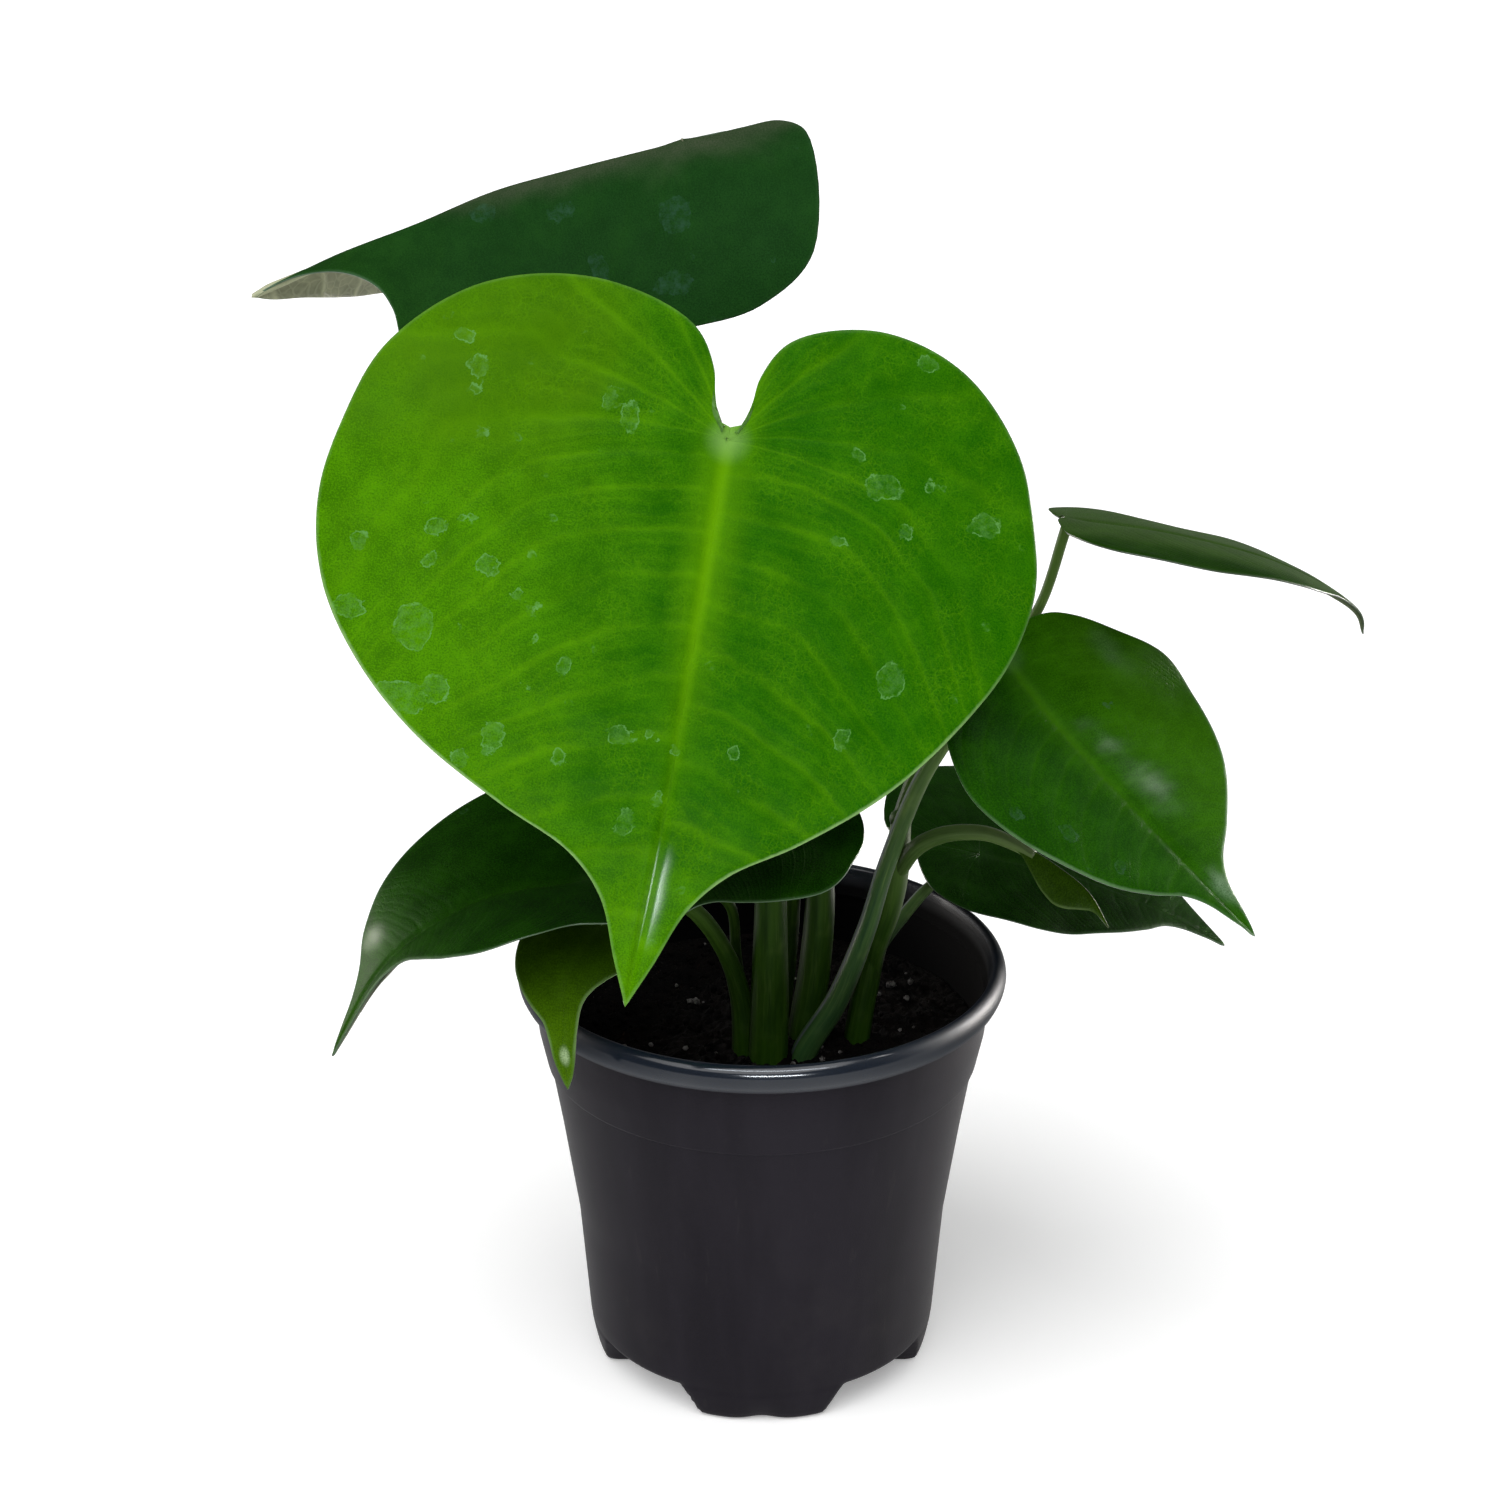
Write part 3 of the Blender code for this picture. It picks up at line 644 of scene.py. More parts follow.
LEAF_LOOKS = {
    "leaf_front": (BRIGHT, "bright leaf"),
    "leaf_back": (BACK, "dark leaf"),
    "leaf_mid_right": (GLOSSY, "dark leaf"),
    "leaf_rim": (OLIVE, "olive leaf"),
    "leaf_young": (YOUNG, "young leaf"),
    "leaf_upper_right": ({**DARK, **AWAY}, "dark leaf"),
}


def brightness(name, along, across):
    """Where a blade is lighter, which is painted light and shade, in part its own paler tone; where it is
    wet; and where it is tinted, by its wax on the front blade and by painted highlights and sheen on some
    others. Along is in blade lengths.
    """
    light = 0.35 * smooth_step(0.4, 1.0, along)
    sheen = tint_and_highlight = along * 0
    if name == "leaf_front":
        # Painted light, in part the blade's own paler tone: lighter towards one side and towards the tip
        light = 0.75 * smooth_step(-5, 62, across) + 0.85 * smooth_step(0.62, 1.0, along)
        sheen = smooth_step(0.70, 0.76, along) * smooth_step(0.90, 0.82, along) * hill(across, -1, 1.4)
        tint_and_highlight = 0.8 * smooth_step(2, 40, across) * smooth_step(0.35, -0.08, along)
    elif name == "leaf_back":
        # Painted sheen: a brownish-grey reflection along the ridge
        tint_and_highlight = 1.2 * np.exp(-np.abs(across) / 7) * smooth_step(0.75, 0.3, along)
    elif name == "leaf_mid_right":
        # Painted shade over the half next to the front blade, which shades it
        light = 0.9 * smooth_step(8, -26, across)
        # Coat, and painted highlights in streaks beside the midrib, near the base of one margin and at the
        # tip
        stripe = hill(across + 6 * along, -5, 3.5) * smooth_step(0.1, 0.3, along)
        shore = hill(along, 0.12, 0.09) * hill(across, -24, 5)
        tip = hill(along, 0.86, 0.06) * hill(across, -3, 3)
        sheen = np.maximum.reduce([0.13 * stripe * smooth_step(0.7, 0.55, along), 0.3 * shore, 0.5 * tip])
        tint_and_highlight = np.maximum.reduce([0.4 * stripe * smooth_step(0.75, 0.6, along), 0.45 * shore, 0.9 * tip])
    elif name == "leaf_upper_right":
        # Painted light and shade: lighter except along one half's outer margin and towards the tip
        light = smooth_step(24, 11, across) * smooth_step(1.0, 0.75, along)
    elif name == "leaf_left":
        # Painted shade: darker near the stalk, in the front blade's shade, lighter towards the tip
        light = smooth_step(0.35, 0.95, along)
        sheen = 0.1 * hill(along, 0.66, 0.035) * hill(across, 10, 3)
    elif name == "leaf_rim":
        # Painted light and shade: darker near the stalk, under the blade above it, lighter lower down
        light = smooth_step(0.3, 0.72, along)
        # Painted highlight: a pale glint near the tip
        tint_and_highlight = hill(along, 0.80, 0.06) * hill(across, -0.3, 1.4)
    return np.clip(light, 0, 1), sheen, tint_and_highlight


def scaled(colour, share):
    return tuple(part * share for part in colour)


def upper_finish(name, look, half, length):
    """The waxy upper face: mottled green with painted light and shade, paler veins, a fine net between them,
    dried water marks, a wax tint and painted highlights.
    """
    finish = Finish(f"{name} upper face", Specular_IOR_Level=look["level"], Coat_Roughness=0.24)
    step, fall, clouds, channel = finish.step, finish.fall, finish.clouds, finish.channel
    flat = finish.map("flat")
    across = finish.part(flat, 0).math("ABSOLUTE")
    along = finish.part(flat, 1)
    wander = clouds(flat, 0.9, 3.0) - 0.5
    drift = clouds(flat, 0.3, 1.0) - 0.5
    count = channel("veins") + wander * 0.15 + drift * 0.9
    broken = step(clouds(flat, 0.45, 3.0), 0.35, 0.62) * 0.75 + 0.25
    fade = (1.0 - step(across, 0.1 * half, 0.8 * half) * 0.5) * broken
    lateral = finish.line(count, 0.16) * fade
    soft_lateral = finish.line(count, 0.5) * fade
    minor = finish.line(count * 3.0 + wander * 1.5, 0.3)
    frayed = finish.warp(finish.warp(flat, 5.0, 0.12), 1.2, 0.4)
    net = fall(finish.cells(frayed, 5.0), 0.0, 0.09)
    fine_net = fall(finish.cells(finish.warp(flat, 4.0, 0.2), 12.0), 0.0, 0.2)
    patches = step(clouds(flat, 0.8, 2.0), 0.35, 0.7)
    rib_width = channel("rib_width")
    rib_fade = 1.0 - step(along, 0.15 * length, 0.75 * length) * 0.88
    rib = fall(across / rib_width, 0.0, 1.35) * rib_fade
    halo = fall(across / rib_width, 0.6, 5.0) * rib_fade

    mottle = clouds(flat, 1.0, 7.0, 0.68)
    speckle = clouds(flat, 26.0, 3.0, 0.75)
    grain = step(speckle, 0.3, 0.7)
    shade = step(mottle + (speckle - 0.5) * 1.9, 0.25, 0.75)
    # Painted light and shade from the blade's light channel, mottled
    painted_light = (channel("light") + (mottle - 0.5) * 0.5).clamped()
    dimmed = scaled(look["light"], 0.62)
    # The wax tint, and on some blades painted highlights and sheen, broken up by noise
    tint_and_highlight = step(channel("tint_and_highlight") + (drift + wander) * 0.6, 0.2, 0.9)
    shown = (painted_light * 0.5 + 0.5) * look["veined"]
    pale_joint = fall(channel("joint"), 0.5, 6.0)

    ragged = clouds(flat, 2.6, 5.0, 0.65) - 0.5
    depth = channel("mark") + ragged * 5.0
    inside = step(depth, -0.1, 0.15)
    rim = inside * fall(depth, 0.1, 0.6)
    film = step(clouds(flat, 4.5, 4.0, 0.7), 0.35, 0.75)
    worn = step(clouds(flat, 3.0, 2.0), 0.38, 0.58)
    spots = finish.cells(finish.warp(flat, 2.0, 0.5), 1.3, "F1")
    dots = step(spots * -1.0 + ragged * 0.3, -0.16, -0.13) * step(mottle, 0.5, 0.6)
    dot_rim = dots * step(spots, 0.05, 0.12)
    marked = (inside * film * look["film"]).either(rim * worn * look["rimmed"]).either(dot_rim * worn * 0.4)
    brink = fall(channel("margin") + ragged * 0.8, 0.1, 0.9)
    low = step(along, 0.2 * length, 0.5 * length) * 0.55 + 0.1
    low = low * (1.0 - step(along, 0.74 * length, 0.86 * length) * 0.7)

    colour = finish.over(
        finish.blend(shade, look["deep"], look["plain"]),
        (painted_light * (grain * 0.2 + 0.8), finish.blend(shade, dimmed, look["light"])),
        (tint_and_highlight * (shade * 0.4 + 0.35), look["tint_and_highlight"]),
        (fine_net * patches * 0.12 * look["net"], look["vein"]),
        (net * patches * 0.14 * look["net"], look["vein"]),
        (soft_lateral * 0.17 * shown, look["vein"]),
        (minor * fade * 0.17 * shown, look["vein"]),
        (lateral * 0.34 * shown, look["vein"]),
        (halo * 0.5 * look["ribbed"], look["vein"]),
        (rib * look["ribbed"], look["rib"]),
        (pale_joint * 0.5 * look["ribbed"], look["edge"]),
        (marked, look["mark"]),
        (brink * low, look["edge"]),
    )
    rough = look["gloss"] + (mottle - 0.5) * 0.25 + marked * 0.3
    wet = step(finish.streaks(flat, (0.5, 1.6, 1.0), 2.0), 0.35, 0.7) * look["streaky"]
    wet = channel("sheen") * (wet + (1.0 - look["streaky"]))
    finish.put(Base_Color=colour, Roughness=rough.clamped(), Coat_Weight=wet.clamped())
    height = speckle * 0.12 + (fine_net * -0.15 + net * -0.2) * patches + minor * -0.15
    finish.relief(height + lateral * -0.3 + marked * 0.1, 0.00014)
    return finish.material


def under_finish(name, look):
    """The dull underside, paler and greyer, with raised veins."""
    finish = Finish(f"{name} underside", Specular_IOR_Level=0.06)
    flat = finish.map("flat")
    count = finish.channel("veins") + (finish.clouds(flat, 0.9, 3.0) - 0.5) * 0.35
    lateral = finish.line(count, 0.12)
    net = finish.fall(finish.cells(finish.warp(flat, 1.6, 0.35), 3.2), 0.0, 0.12)
    across = finish.part(flat, 0).math("ABSOLUTE")
    rib = finish.fall(across / finish.channel("rib_width"), 0.5, 1.3)
    mottle = finish.clouds(flat, 1.2, 5.0, 0.6)
    paler = tuple(part * 1.5 + 0.02 for part in look["under"])
    darker = scaled(look["under"], 0.6)
    colour = finish.blend(finish.step(mottle, 0.3, 0.7), darker, look["under"])
    colour = finish.blend((lateral * 0.5).either(net * 0.2).either(rib * 0.8), colour, paler)
    finish.put(Base_Color=colour, Roughness=(0.5 + (mottle - 0.5) * 0.2).clamped())
    finish.relief(lateral * 0.6 + net * 0.25 + finish.clouds(flat, 16.0, 2.0) * 0.1, 0.0002)
    return finish.material


def edge_finish(name, look):
    """The thin, pale, horny rim of a blade."""
    finish = Finish(f"{name} rim", Specular_IOR_Level=0.45)
    flat = finish.map("flat")
    grain = finish.clouds(flat, 6.0, 3.0)
    dull = scaled(look["edge"], 0.6)
    finish.put(Base_Color=finish.blend(grain, dull, look["edge"]), Roughness=(0.28 + grain * 0.15).clamped())
    return finish.material


def mark_depth(blade_name, along, across):
    """How far inside the nearest water mark each point is, negative outside."""
    depth = np.full(along.shape, -9.0)
    for mark_across, mark_along, radius in WATER_MARKS.get(blade_name, []):
        turn = 0.7 * mark_across + mark_along
        stretch = 1 + 0.25 * math.sin(turn)
        away = np.hypot((across - mark_across) * stretch, (along - mark_along) / stretch)
        depth = np.maximum(depth, radius - away)
    return depth


def make_leaf(name, values):
    """A blade with quilting between its veins, slow waves, a sunk midrib and a rolled margin."""
    blade = Blade(**values)
    along, across, margin = blade.flat_grid()
    count = blade.veins(along, across)
    reach = np.abs(across)
    taper = np.clip(1 - along / blade.length, 0, 1) ** 0.6
    scale = min(1.0, blade.length / 100)
    rib_width = (0.5 + 1.5 * taper) * (0.35 + 0.65 * scale)
    rib = hill(reach, 0, rib_width)
    lateral = np.abs(np.cos(math.pi * count)) ** 10
    joint = np.hypot(along, across)
    open_blade = smooth_step(3, 22, joint) * smooth_step(0.5, 6, margin) * smooth_step(0.5, 5, reach)
    quilting = blade.quilt * QUILTING * (0.5 - np.abs(np.cos(math.pi * count)) ** 3) * open_blade
    slow = np.empty(along.shape)
    own = len(name) * 7.3
    for cell in np.ndindex(along.shape):
        place = Vector((across[cell] * WAVE_SCALE, along[cell] * WAVE_SCALE, own))
        slow[cell] = noise.noise(place) + 0.35 * noise.noise(place * 2.7)
    slow *= blade.sway * smooth_step(0, 15, reach)
    channel = -0.45 * scale * rib * smooth_step(0, 6, along)
    rolled = -0.35 * scale * np.exp(-margin / 0.8)
    height = TOP_OFFSET + quilting + slow + channel + rolled
    thick = THICKNESS * (0.55 + 0.45 * smooth_step(0, 5, margin)) + 0.25 * lateral * open_blade * scale
    thick += RIB_THICKNESS * scale * taper * hill(reach, 0, rib_width * 0.9) * smooth_step(-1, 5, along)
    most = float(thick.max())
    light, sheen, tint_and_highlight = brightness(name, along / blade.length, across)
    channels = {
        "veins": count,
        "margin": margin,
        "joint": joint,
        "mark": mark_depth(name, along, across),
        "rib_width": rib_width * MAP_SCALE,
        "thick": thick / most,
        "light": light,
        "sheen": sheen,
        "tint_and_highlight": tint_and_highlight,
    }
    maps = {"flat": (across * MAP_SCALE, along * MAP_SCALE)}
    bm = lay_grid(blade.place(along, across, height), channels, maps)
    close_seams(bm)
    halfway = np.array([blade.length / 2])
    middle = Vector(blade.place(halfway, np.array([blade.half[1] / 3]), np.array([0.0]))[0] * MM)
    nearest = min(bm.faces, key=lambda face: (face.calc_center_median() - middle).length)
    if nearest.normal.dot(Vector(blade.at(blade.above, halfway)[0])) < 0:
        bmesh.ops.reverse_faces(bm, faces=bm.faces)
    layer = bm.verts.layers.deform.verify()
    weight = bm.verts.layers.float["thick"]
    for vert in bm.verts:
        vert[layer][0] = vert[weight]
    look, slot = LEAF_LOOKS.get(name, (DARK, "dark leaf"))
    upper = upper_finish(name, look, blade.half.mean() * MAP_SCALE, blade.length * MAP_SCALE)
    finishes = [upper, under_finish(name, look), edge_finish(name, look)]
    piece = finish_piece(f"{name}_blade", bm, name, finishes)
    piece.vertex_groups.new(name="thickness")
    solid = piece.modifiers.new("Thickness", "SOLIDIFY")
    solid.thickness = most * MM
    solid.offset = -1.0
    solid.vertex_group = "thickness"
    solid.material_offset = 1
    solid.material_offset_rim = 2
    return blade


def stalk_finish(name, deep, plain, pale, blush):
    """A smooth green stalk with fine fibres, paler at its top, with painted shade at its foot by the soil,
    and a violet line where it is blushed.
    """
    finish = Finish(name, Specular_IOR_Level=0.04)
    wound = finish.map("wound")
    rise = finish.channel("rise")
    streaks = finish.streaks(wound, (9.0, 0.35, 1.0), 4.0, 0.6)
    fibres = finish.streaks(wound, (34.0, 0.6, 1.0), 3.0, 0.6)
    blotch = finish.streaks(wound, (2.0, 0.8, 1.0))
    lightness = finish.step(rise, 0.35, 1.0) * 0.6 + finish.step(blotch, 0.5, 0.75) * 0.3
    # Painted shade: darker towards the foot, down by the soil
    foot = finish.fall(finish.part(finish.object_place(), 2), 0.082, 0.108)
    colour = finish.over(
        finish.blend(finish.step(streaks, 0.3, 0.7), deep, plain),
        (lightness.clamped(), pale),
        (finish.step(fibres, 0.55, 0.75) * 0.3, pale),
        (finish.fall(finish.channel("around"), 0.0, 0.12) * blush, (0.16, 0.15, 0.22)),
        (foot * 0.35, deep),
    )
    finish.put(Base_Color=colour, Roughness=(0.36 + streaks * 0.2).clamped())
    finish.relief(fibres * 0.5 + streaks * 0.5, 0.00015)
    return finish.material


def lay_tube(route, radii, samples, sides=22, groove=0.16):
    """A round stalk along a route, grooved on its upper side."""
    points = smooth_route(route, samples)
    _, across, above = carried_frames(points, np.array([1.0, 0.13, 0.07]))
    run = np.linspace(0, 1, samples)
    radius = np.interp(run, np.linspace(0, 1, len(radii)), radii)
    radius = np.convolve(np.pad(radius, 6, mode="edge"), np.ones(13) / 13, mode="valid")
    turn = np.linspace(0, math.tau, sides + 1)
    section = 1 - groove * hill(turn, math.pi, 0.45) + 0.012 * np.cos(turn * 7)
    reach = radius[:, None] * section[None, :]
    places = points[:, None] + across[:, None] * (reach * np.cos(turn))[..., None]
    places = places + above[:, None] * (reach * np.sin(turn))[..., None]
    length = spans(points).sum()
    rise, turns = np.meshgrid(run, turn, indexing="ij")
    channels = {"around": np.abs(turns / math.pi - 1), "rise": rise}
    maps = {"wound": (turns / math.tau, rise * length * MAP_SCALE)}
    bm = lay_grid(places, channels, maps)
    close_seams(bm)
    bmesh.ops.holes_fill(bm, edges=[edge for edge in bm.edges if edge.is_boundary], sides=0)
    bmesh.ops.recalc_face_normals(bm, faces=bm.faces)
    return bm


def join_forms(forms):
    """Puts several forms into one, with the layers of the first."""
    mesh = bpy.data.meshes.new("joining")
    whole = forms[0]
    for form in forms[1:]:
        form.to_mesh(mesh)
        form.free()
        whole.from_mesh(mesh)
    bpy.data.meshes.remove(mesh)
    return whole


def knob(place, radius, flat=0.75):
    """A flattened ball that fills out a joint."""
    bm = bmesh.new()
    bm.verts.layers.float.new("around")
    bm.verts.layers.float.new("rise")
    bm.loops.layers.uv.new("wound")
    wide = radius * MM
    shape = Matrix.Translation(Vector(place) * MM) @ Matrix.Diagonal((wide, wide, wide * flat, 1))
    bmesh.ops.create_icosphere(bm, subdivisions=3, radius=1, matrix=shape)
    return bm


def stalk_end(blade):
    """Where a stalk runs into the underside of its blade, deeper under a folded one."""
    return blade.points[2] - blade.above[0] * (1.5 + 3.2 * max(0.0, -math.sin(blade.lift[0])))


def stalk_route(route, blade):
    """From down in the soil to the underside of the blade."""
    x, y, z = route[0]
    return [(x, y, z - BURIED), *route, tuple(stalk_end(blade))]


def make_stalk(name, blade, radius, route, finish):
    foot, middle, end = radius
    upper, lower = (middle + end) / 2, (foot + middle) / 2
    radii = (foot * 1.12, foot, lower, middle, middle, upper, end, end * 1.12)
    forms = [lay_tube(stalk_route(route, blade), radii, 90)]
    forms.append(knob(stalk_end(blade) - blade.above[0] * end * 0.4, end * 1.15))
    return finish_piece(f"{name}_stalk", join_forms(forms), name, [finish])


def make_stem_right(blades, finish, young_finish):
    """The right-hand stem with its open sheath and the young leaf's stalk."""
    leaf, (foot, middle, end), route = STALKS["stem_right"]
    blade = blades[leaf]
    radii = (foot * 1.1, foot, 2.1, middle, 1.5, end, end, end * 1.1)
    forms = [lay_tube(stalk_route(route, blade), radii, 100)]
    forms.append(lay_tube(SHEATH_ROUTE, SHEATH_RADII, 40, sides=30, groove=0.34))
    bud = blades["leaf_young"]
    under = [tuple(bud.points[i] - bud.above[i] * gap) for i, gap in ((12, 0.8), (30, 1.2))]
    forms.append(lay_tube([*YOUNG_ROUTE, *under], YOUNG_RADII, 50))
    for face in forms[-1].faces:
        face.material_index = 1
    forms.append(knob((31.4, -5.2, 139.2), 2.5, 0.9))
    forms.append(knob(stalk_end(blade), end * 1.1))
    return finish_piece("stem_right_stalk", join_forms(forms), "stem_right", [finish, young_finish])


def foot_radius(angle, breadth, notched=0.0):
    """The base's plan: four feet joined at the centre, each with a notch low in its front."""
    quarter = (angle + math.pi / 4) % (math.pi / 2) - math.pi / 4
    foot = smooth_step(0, 1, np.cos(4 * angle) + breadth + FOOT_SPREAD)
    notch = notched * FOOT_NOTCH * hill(quarter, 0, math.radians(6))
    return CHANNEL_REACH + (FOOT_REACH - notch - CHANNEL_REACH) * foot


def turned_form(rings, inside_from=None):
    """A closed form from rings about the Z axis, each with its radius and its height."""
    angle = np.linspace(0, math.tau, POT_COLUMNS + 1)
    places = np.zeros((len(rings), POT_COLUMNS + 1, 3))
    for row, (radius, height) in enumerate(rings):
        places[row, :, 0] = radius * np.cos(angle)
        places[row, :, 1] = radius * np.sin(angle)
        places[row, :, 2] = height
    places[:, -1] = places[:, 0]
    inside = np.zeros(places.shape[:2])
    inside[inside_from:] = 1
    bm = lay_grid(places, {"inside": inside} if inside_from else None)
    close_seams(bm)
    bmesh.ops.recalc_face_normals(bm, faces=bm.faces)
    return bm


def wall_rings():
    """The pot's outer side, with close rings at each side of the small step."""
    rings = []
    for (low, first), (high, second) in zip(POT_SIDE, POT_SIDE[1:]):
        count = max(2, round((high - low) / 3))
        for i in range(count):
            share = i / count
            rings.append((first + (second - first) * share, low + (high - low) * share))
    rings.append(POT_SIDE[-1][::-1])
    rings = [ring for ring in rings if not 76.8 < ring[1] < 78.5]
    return sorted(rings + SIDE_STEP, key=lambda ring: ring[1])


def make_pot(finish):
    angle = np.linspace(0, math.tau, POT_COLUMNS + 1)
    level = FLOOR_LIFT + POT_WALL / 2
    flat = foot_radius(angle, FOOT_LEVELS[0][2], 1.0) + FOOT_LEVELS[0][1]
    rings = [(flat * share, 0.0) for share in (0, 0.3, 0.6, 0.85, 0.97)]
    for height, growth, breadth in FOOT_LEVELS:
        notched = (1 - height / FLOOR_LIFT) ** 2
        rings.append((foot_radius(angle, breadth, notched) + growth, height))
    widest = rings[-1][0]
    base = [(radius, FLOOR_LIFT) for radius in (30.0, 36.0, 38.8)]
    base += [(39.6, FLOOR_LIFT + 0.05), (40.4, FLOOR_LIFT + 0.3), (41.1, level + 0.05), (41.5, level + 0.7)]
    rings += [(np.maximum(widest, radius), height) for radius, height in base]
    rings += wall_rings()
    lip = knot_samples([(inward, down, 0) for inward, down in LIP_SECTION], 4)
    rings += [(LIP_RADIUS - inward, POT_HEIGHT - down) for inward, down, _ in lip]
    inside_from = len(rings)
    rings += INNER_TOP
    for radius, height in reversed(wall_rings()):
        if height < INNER_TOP[-1][1] - 0.3:
            rings.append((radius - POT_WALL - 0.35 * hill(height, INNER_RIDGE, 0.5), height))
    rings += [(radius, FLOOR_LIFT + POT_WALL) for radius in (39.0, 20.0, 0.0)]
    bm = turned_form(rings, inside_from)
    piece = finish_piece("pot_shell", bm, "pot", [finish], sharp=42)
    cutters = bmesh.new()
    size = dict(radius1=DRAIN_RADIUS * MM, radius2=DRAIN_RADIUS * MM, depth=5 * POT_WALL * MM)
    for i in range(DRAINS):
        turn = math.tau * (i + 0.5) / DRAINS
        place = Vector((DRAIN_REACH * math.cos(turn), DRAIN_REACH * math.sin(turn), FLOOR_LIFT)) * MM
        bmesh.ops.create_cone(cutters, cap_ends=True, segments=28, matrix=Matrix.Translation(place), **size)
    cut_out(piece, cutters)


def cut_out(piece, cutters):
    """Cuts the forms out of the piece for good."""
    mesh = mesh_of("cutters", cutters)
    cutter = add_object("cutters", mesh)
    modifier = piece.modifiers.new("Holes", "BOOLEAN")
    modifier.operation = "DIFFERENCE"
    modifier.solver = "EXACT"
    modifier.object = cutter
    bpy.context.view_layer.update()
    graph = bpy.context.evaluated_depsgraph_get()
    cut = bpy.data.meshes.new_from_object(piece.evaluated_get(graph))
    piece.modifiers.clear()
    old = piece.data
    piece.data = cut
    bpy.data.meshes.remove(old)
    bpy.data.objects.remove(cutter)
    bpy.data.meshes.remove(mesh)


def pot_finish():
    """Satin black moulded plastic, with a fine grain, faint flow lines and some dust low on its side; the lip
    carries a painted blue reflection, and the inside is painted in deep shade.
    """
    gloss = {"Specular_IOR_Level": 0.035, "Coat_Roughness": 0.14, "Coat_Tint": (0.8, 0.9, 1.0, 1.0)}
    finish = Finish("black moulded plastic", **gloss)
    place = finish.object_place()
    height = finish.part(place, 2)
    flow = finish.streaks(place, (60.0, 60.0, 9.0), 4.0, 0.55)
    grain = finish.clouds(place, 2600.0, 2.0, 0.6)
    film = finish.clouds(place, 30.0, 5.0, 0.65)
    dust = finish.step(film, 0.5, 0.8) * finish.fall(height, 0.01, 0.085) * 0.25
    scuff = finish.step(finish.streaks(place, (420.0, 420.0, 60.0), 2.0), 0.66, 0.74) * 0.12
    lip = finish.step(height, 0.0955, 0.0975)
    inside = finish.channel("inside")
    colour = finish.over(
        finish.blend(finish.step(flow, 0.3, 0.7), (0.0130, 0.0116, 0.0152), (0.0185, 0.0165, 0.0216)),
        (dust + scuff, (0.04, 0.037, 0.036)),
        # Painted reflection: the lip is tinted dark blue for the bluish surroundings it mirrors
        (lip, (0.0030, 0.0066, 0.0135)),
        # Painted shade: the inner wall is made near black
        (inside, (0.0012, 0.0012, 0.0018)),
    )
    finish.put(Base_Color=colour, Roughness=(0.40 + flow * 0.12 + dust * 0.4 + inside * 0.5).clamped())
    front = finish.fall(finish.part(place, 0).math("ABSOLUTE"), 0.015, 0.048)
    finish.put(Coat_Weight=lip * (flow * 0.3 + 0.7) * (1.0 - inside) * front)
    finish.relief(grain * 0.6 + flow * 0.4, 0.00005)
    return finish.material


def soil_finish():
    """Moist dark potting mix."""
    finish = Finish("potting mix", Specular_IOR_Level=0.05, Roughness=0.95)
    place = finish.object_place()
    crumb = finish.cells(finish.warp(place, 300.0, 0.004), 420.0, "F1")
    mix = finish.clouds(place, 160.0, 6.0, 0.7)
    fibre = finish.streaks(finish.warp(place, 60.0, 0.02), (900.0, 160.0, 300.0))
    colour = finish.blend(finish.step(mix, 0.35, 0.7), (0.0004, 0.0003, 0.0003), (0.0035, 0.0024, 0.002))
    colour = finish.blend(finish.step(fibre, 0.66, 0.74) * 0.5, colour, (0.02, 0.009, 0.005))
    finish.put(Base_Color=colour)
    finish.relief(crumb * -0.8 + mix * 0.8 + fibre * 0.3, 0.0012)
    return finish.material


def grain_finish():
    """Perlite: dull white, pitted, dusty with soil."""
    finish = Finish("perlite", Specular_IOR_Level=0.2, Roughness=0.85)
    place = finish.object_place()
    pits = finish.cells(place, 1500.0, "F1")
    dirt = finish.clouds(place, 500.0, 4.0, 0.65)
    colour = finish.blend(finish.step(dirt, 0.4, 0.62), (0.13, 0.125, 0.12), (0.012, 0.009, 0.008))
    finish.put(Base_Color=colour)
    finish.relief(pits, 0.0004)
    return finish.material


def soil_height(radius):
    return POT_HEIGHT - SOIL_DEPTH + SOIL_MOUND * (1 - (radius / SOIL_EDGE) ** 2)


def soil_relief(x, y):
    """Clods and hollows of the surface, in millimetres."""
    place = Vector((x, y, 3.7))
    clods = noise.fractal(place * 0.16, 0.9, 2.2, 5)
    crumbs = noise.turbulence(place * 0.55, 3, False)
    return 1.1 * clods + 0.8 * crumbs - 0.5


def make_soil(finish):
    """The fill, from the pot's floor up to its uneven surface."""
    floor = FLOOR_LIFT + POT_WALL + 0.3
    angle = np.linspace(0, math.tau, POT_COLUMNS + 1)
    rings = [(0.0, floor), (38.5, floor), (42.0, 38.0), (45.6, 62.0), (48.0, 76.0), (49.9, 81.6)]
    for share in np.linspace(1, 0, 72):
        radius = SOIL_EDGE * share
        heights = np.array([soil_relief(radius * math.cos(turn), radius * math.sin(turn)) for turn in angle])
        rings.append((radius, soil_height(radius) + heights * (0.35 + 0.65 * min(1, (1 - share) * 8))))
    finish_piece("potting_mix", turned_form(rings), "soil", [finish])


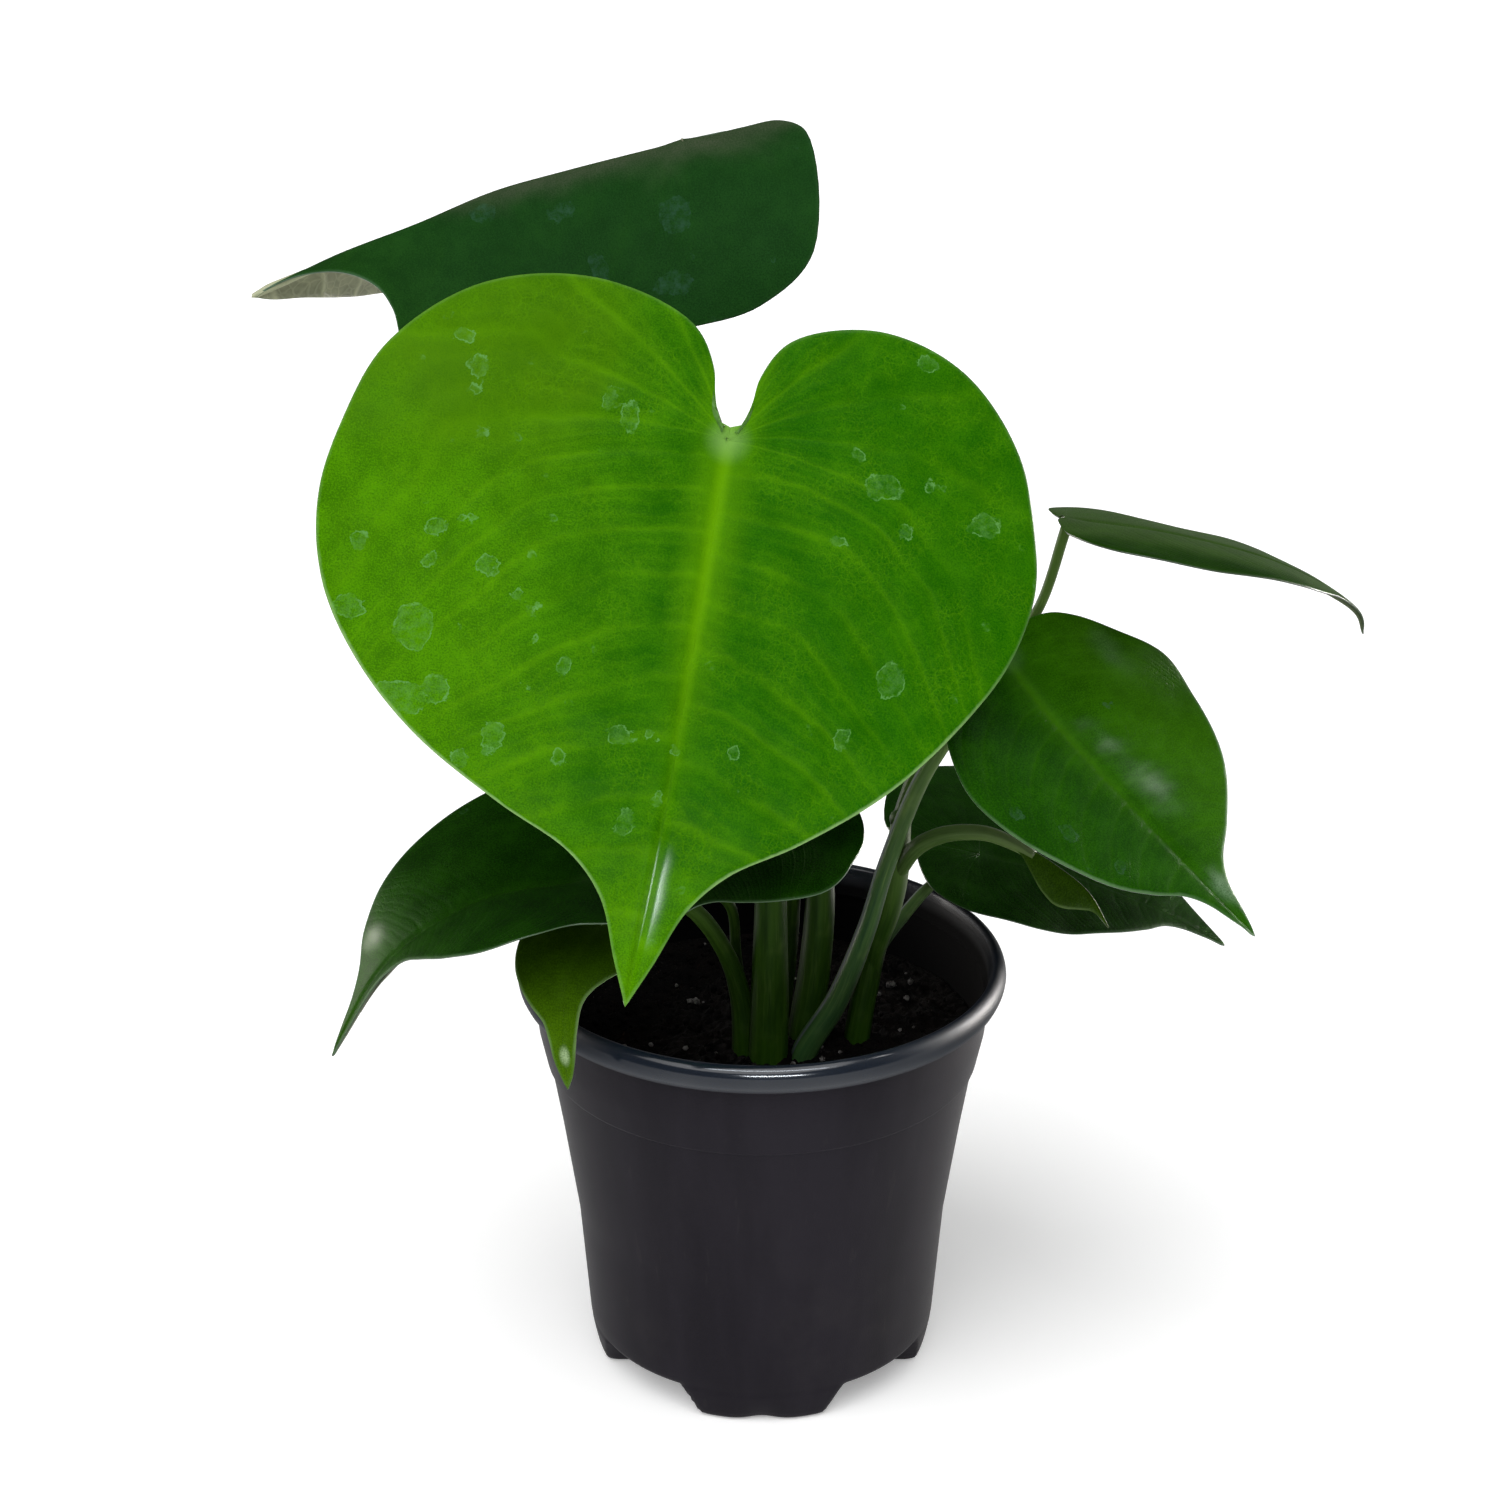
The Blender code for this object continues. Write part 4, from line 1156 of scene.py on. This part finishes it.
def scatter(name, count, sizes, squash, seed, finish, sunk):
    """Small rough lumps lying on the soil, clear of the stalks."""
    chance = np.random.default_rng(seed)
    feet = np.array([route[0][:2] for _, _, route in STALKS.values()])
    bm = bmesh.new()
    while count:
        turn = chance.uniform(0, math.tau)
        reach = (SOIL_EDGE - 1.6) * math.sqrt(chance.uniform(0, 1))
        x, y = reach * math.cos(turn), reach * math.sin(turn)
        if np.linalg.norm(feet - (x, y), axis=1).min() < STALK_CLEARANCE:
            continue
        count -= 1
        size = chance.uniform(*sizes) * (0.6 + 0.4 * chance.uniform())
        lump = bmesh.ops.create_icosphere(bm, subdivisions=1, radius=size * MM)["verts"]
        for vert in lump:
            vert.co *= chance.uniform(0.72, 1.22)
        spin = Matrix.Rotation(chance.uniform(0, math.tau), 3, Vector(chance.normal(size=3)).normalized())
        bmesh.ops.scale(bm, verts=lump, vec=(1, chance.uniform(*squash), chance.uniform(*squash)))
        bmesh.ops.rotate(bm, verts=lump, matrix=spin, cent=(0, 0, 0))
        lift = soil_height(reach) + soil_relief(x, y) + size * sunk
        bmesh.ops.translate(bm, verts=lump, vec=Vector((x, y, lift)) * MM)
    finish_piece(name, bm, None, [finish])


def place_camera():
    """At the photo's angle, as far off as its perspective asks."""
    camera = add_object("camera", bpy.data.cameras.new("camera"))
    camera.location = (-0.0028, -0.6468, 0.4216)
    camera.rotation_euler = (math.radians(90 - LOOK_DOWN), 0, 0)
    camera.data.lens = 73.94
    camera.data.sensor_width = 36
    camera.data.clip_start = 0.01
    bpy.context.scene.camera = camera


def add_lamp(name, place, target, size, power, colour):
    """A soft rectangular lamp that is seen only in what is glossy."""
    light = bpy.data.lights.new(name, "AREA")
    light.shape = "RECTANGLE"
    light.size, light.size_y = size
    light.energy = power
    light.color = colour
    lamp = add_object(name, light)
    lamp.location = place
    lamp.rotation_euler = (Vector(target) - Vector(place)).to_track_quat("-Z", "Y").to_euler()
    lamp.visible_diffuse = False


def make_studio():
    """A white world, a wide soft light, the lamps, and a plain pale floor."""
    world = bpy.data.worlds.new("studio")
    bpy.context.scene.world = world
    world.use_nodes = True
    shade = world.node_tree.nodes["Background"]
    shade.inputs["Color"].default_value = (1, 1, 1, 1)
    shade.inputs["Strength"].default_value = 0.22
    sky = bpy.data.lights.new("wide soft light", "SUN")
    sky.energy = 3.2
    sky.angle = math.radians(70)
    lamp = add_object("wide soft light", sky)
    lamp.rotation_euler = (math.radians(22), math.radians(-8), 0)
    for name, values in LAMPS.items():
        add_lamp(name, *values)
    bpy.context.scene.view_settings.view_transform = "Standard"
    bm = bmesh.new()
    bmesh.ops.create_grid(bm, x_segments=8, y_segments=8, size=4)
    mesh = mesh_of("floor", bm)
    finish = Finish("pale floor", Roughness=0.8, Specular_IOR_Level=0.0, Emission_Strength=0.3)
    grain = finish.clouds(finish.object_place(), 3.0, 2.0)
    white = finish.blend(grain, (0.90, 0.90, 0.90), (0.93, 0.93, 0.93))
    finish.put(Base_Color=white, Emission_Color=white)
    mesh.materials.append(finish.material)
    floor = add_object("floor", mesh)


place_camera()
make_studio()
blades = {name: make_leaf(name, values) for name, values in LEAVES.items()}
green, blue, young = (stalk_finish(name, *colours) for name, colours in STALK_LOOKS.items())
for name, (leaf, radius, route) in STALKS.items():
    if name != "stem_right":
        finish = blue if name in ("petiole_mid_right", "petiole_low_right") else green
        make_stalk(name, blades[leaf], radius, route, finish)
make_stem_right(blades, green, young)
make_pot(pot_finish())
earth = soil_finish()
make_soil(earth)
scatter("soil_crumbs", CRUMBS, (0.35, 1.3), (0.5, 1.0), 5, earth, 0.25)
scatter("perlite_grains", GRAINS, (0.5, 1.5), (0.7, 1.0), 11, grain_finish(), 0.3)
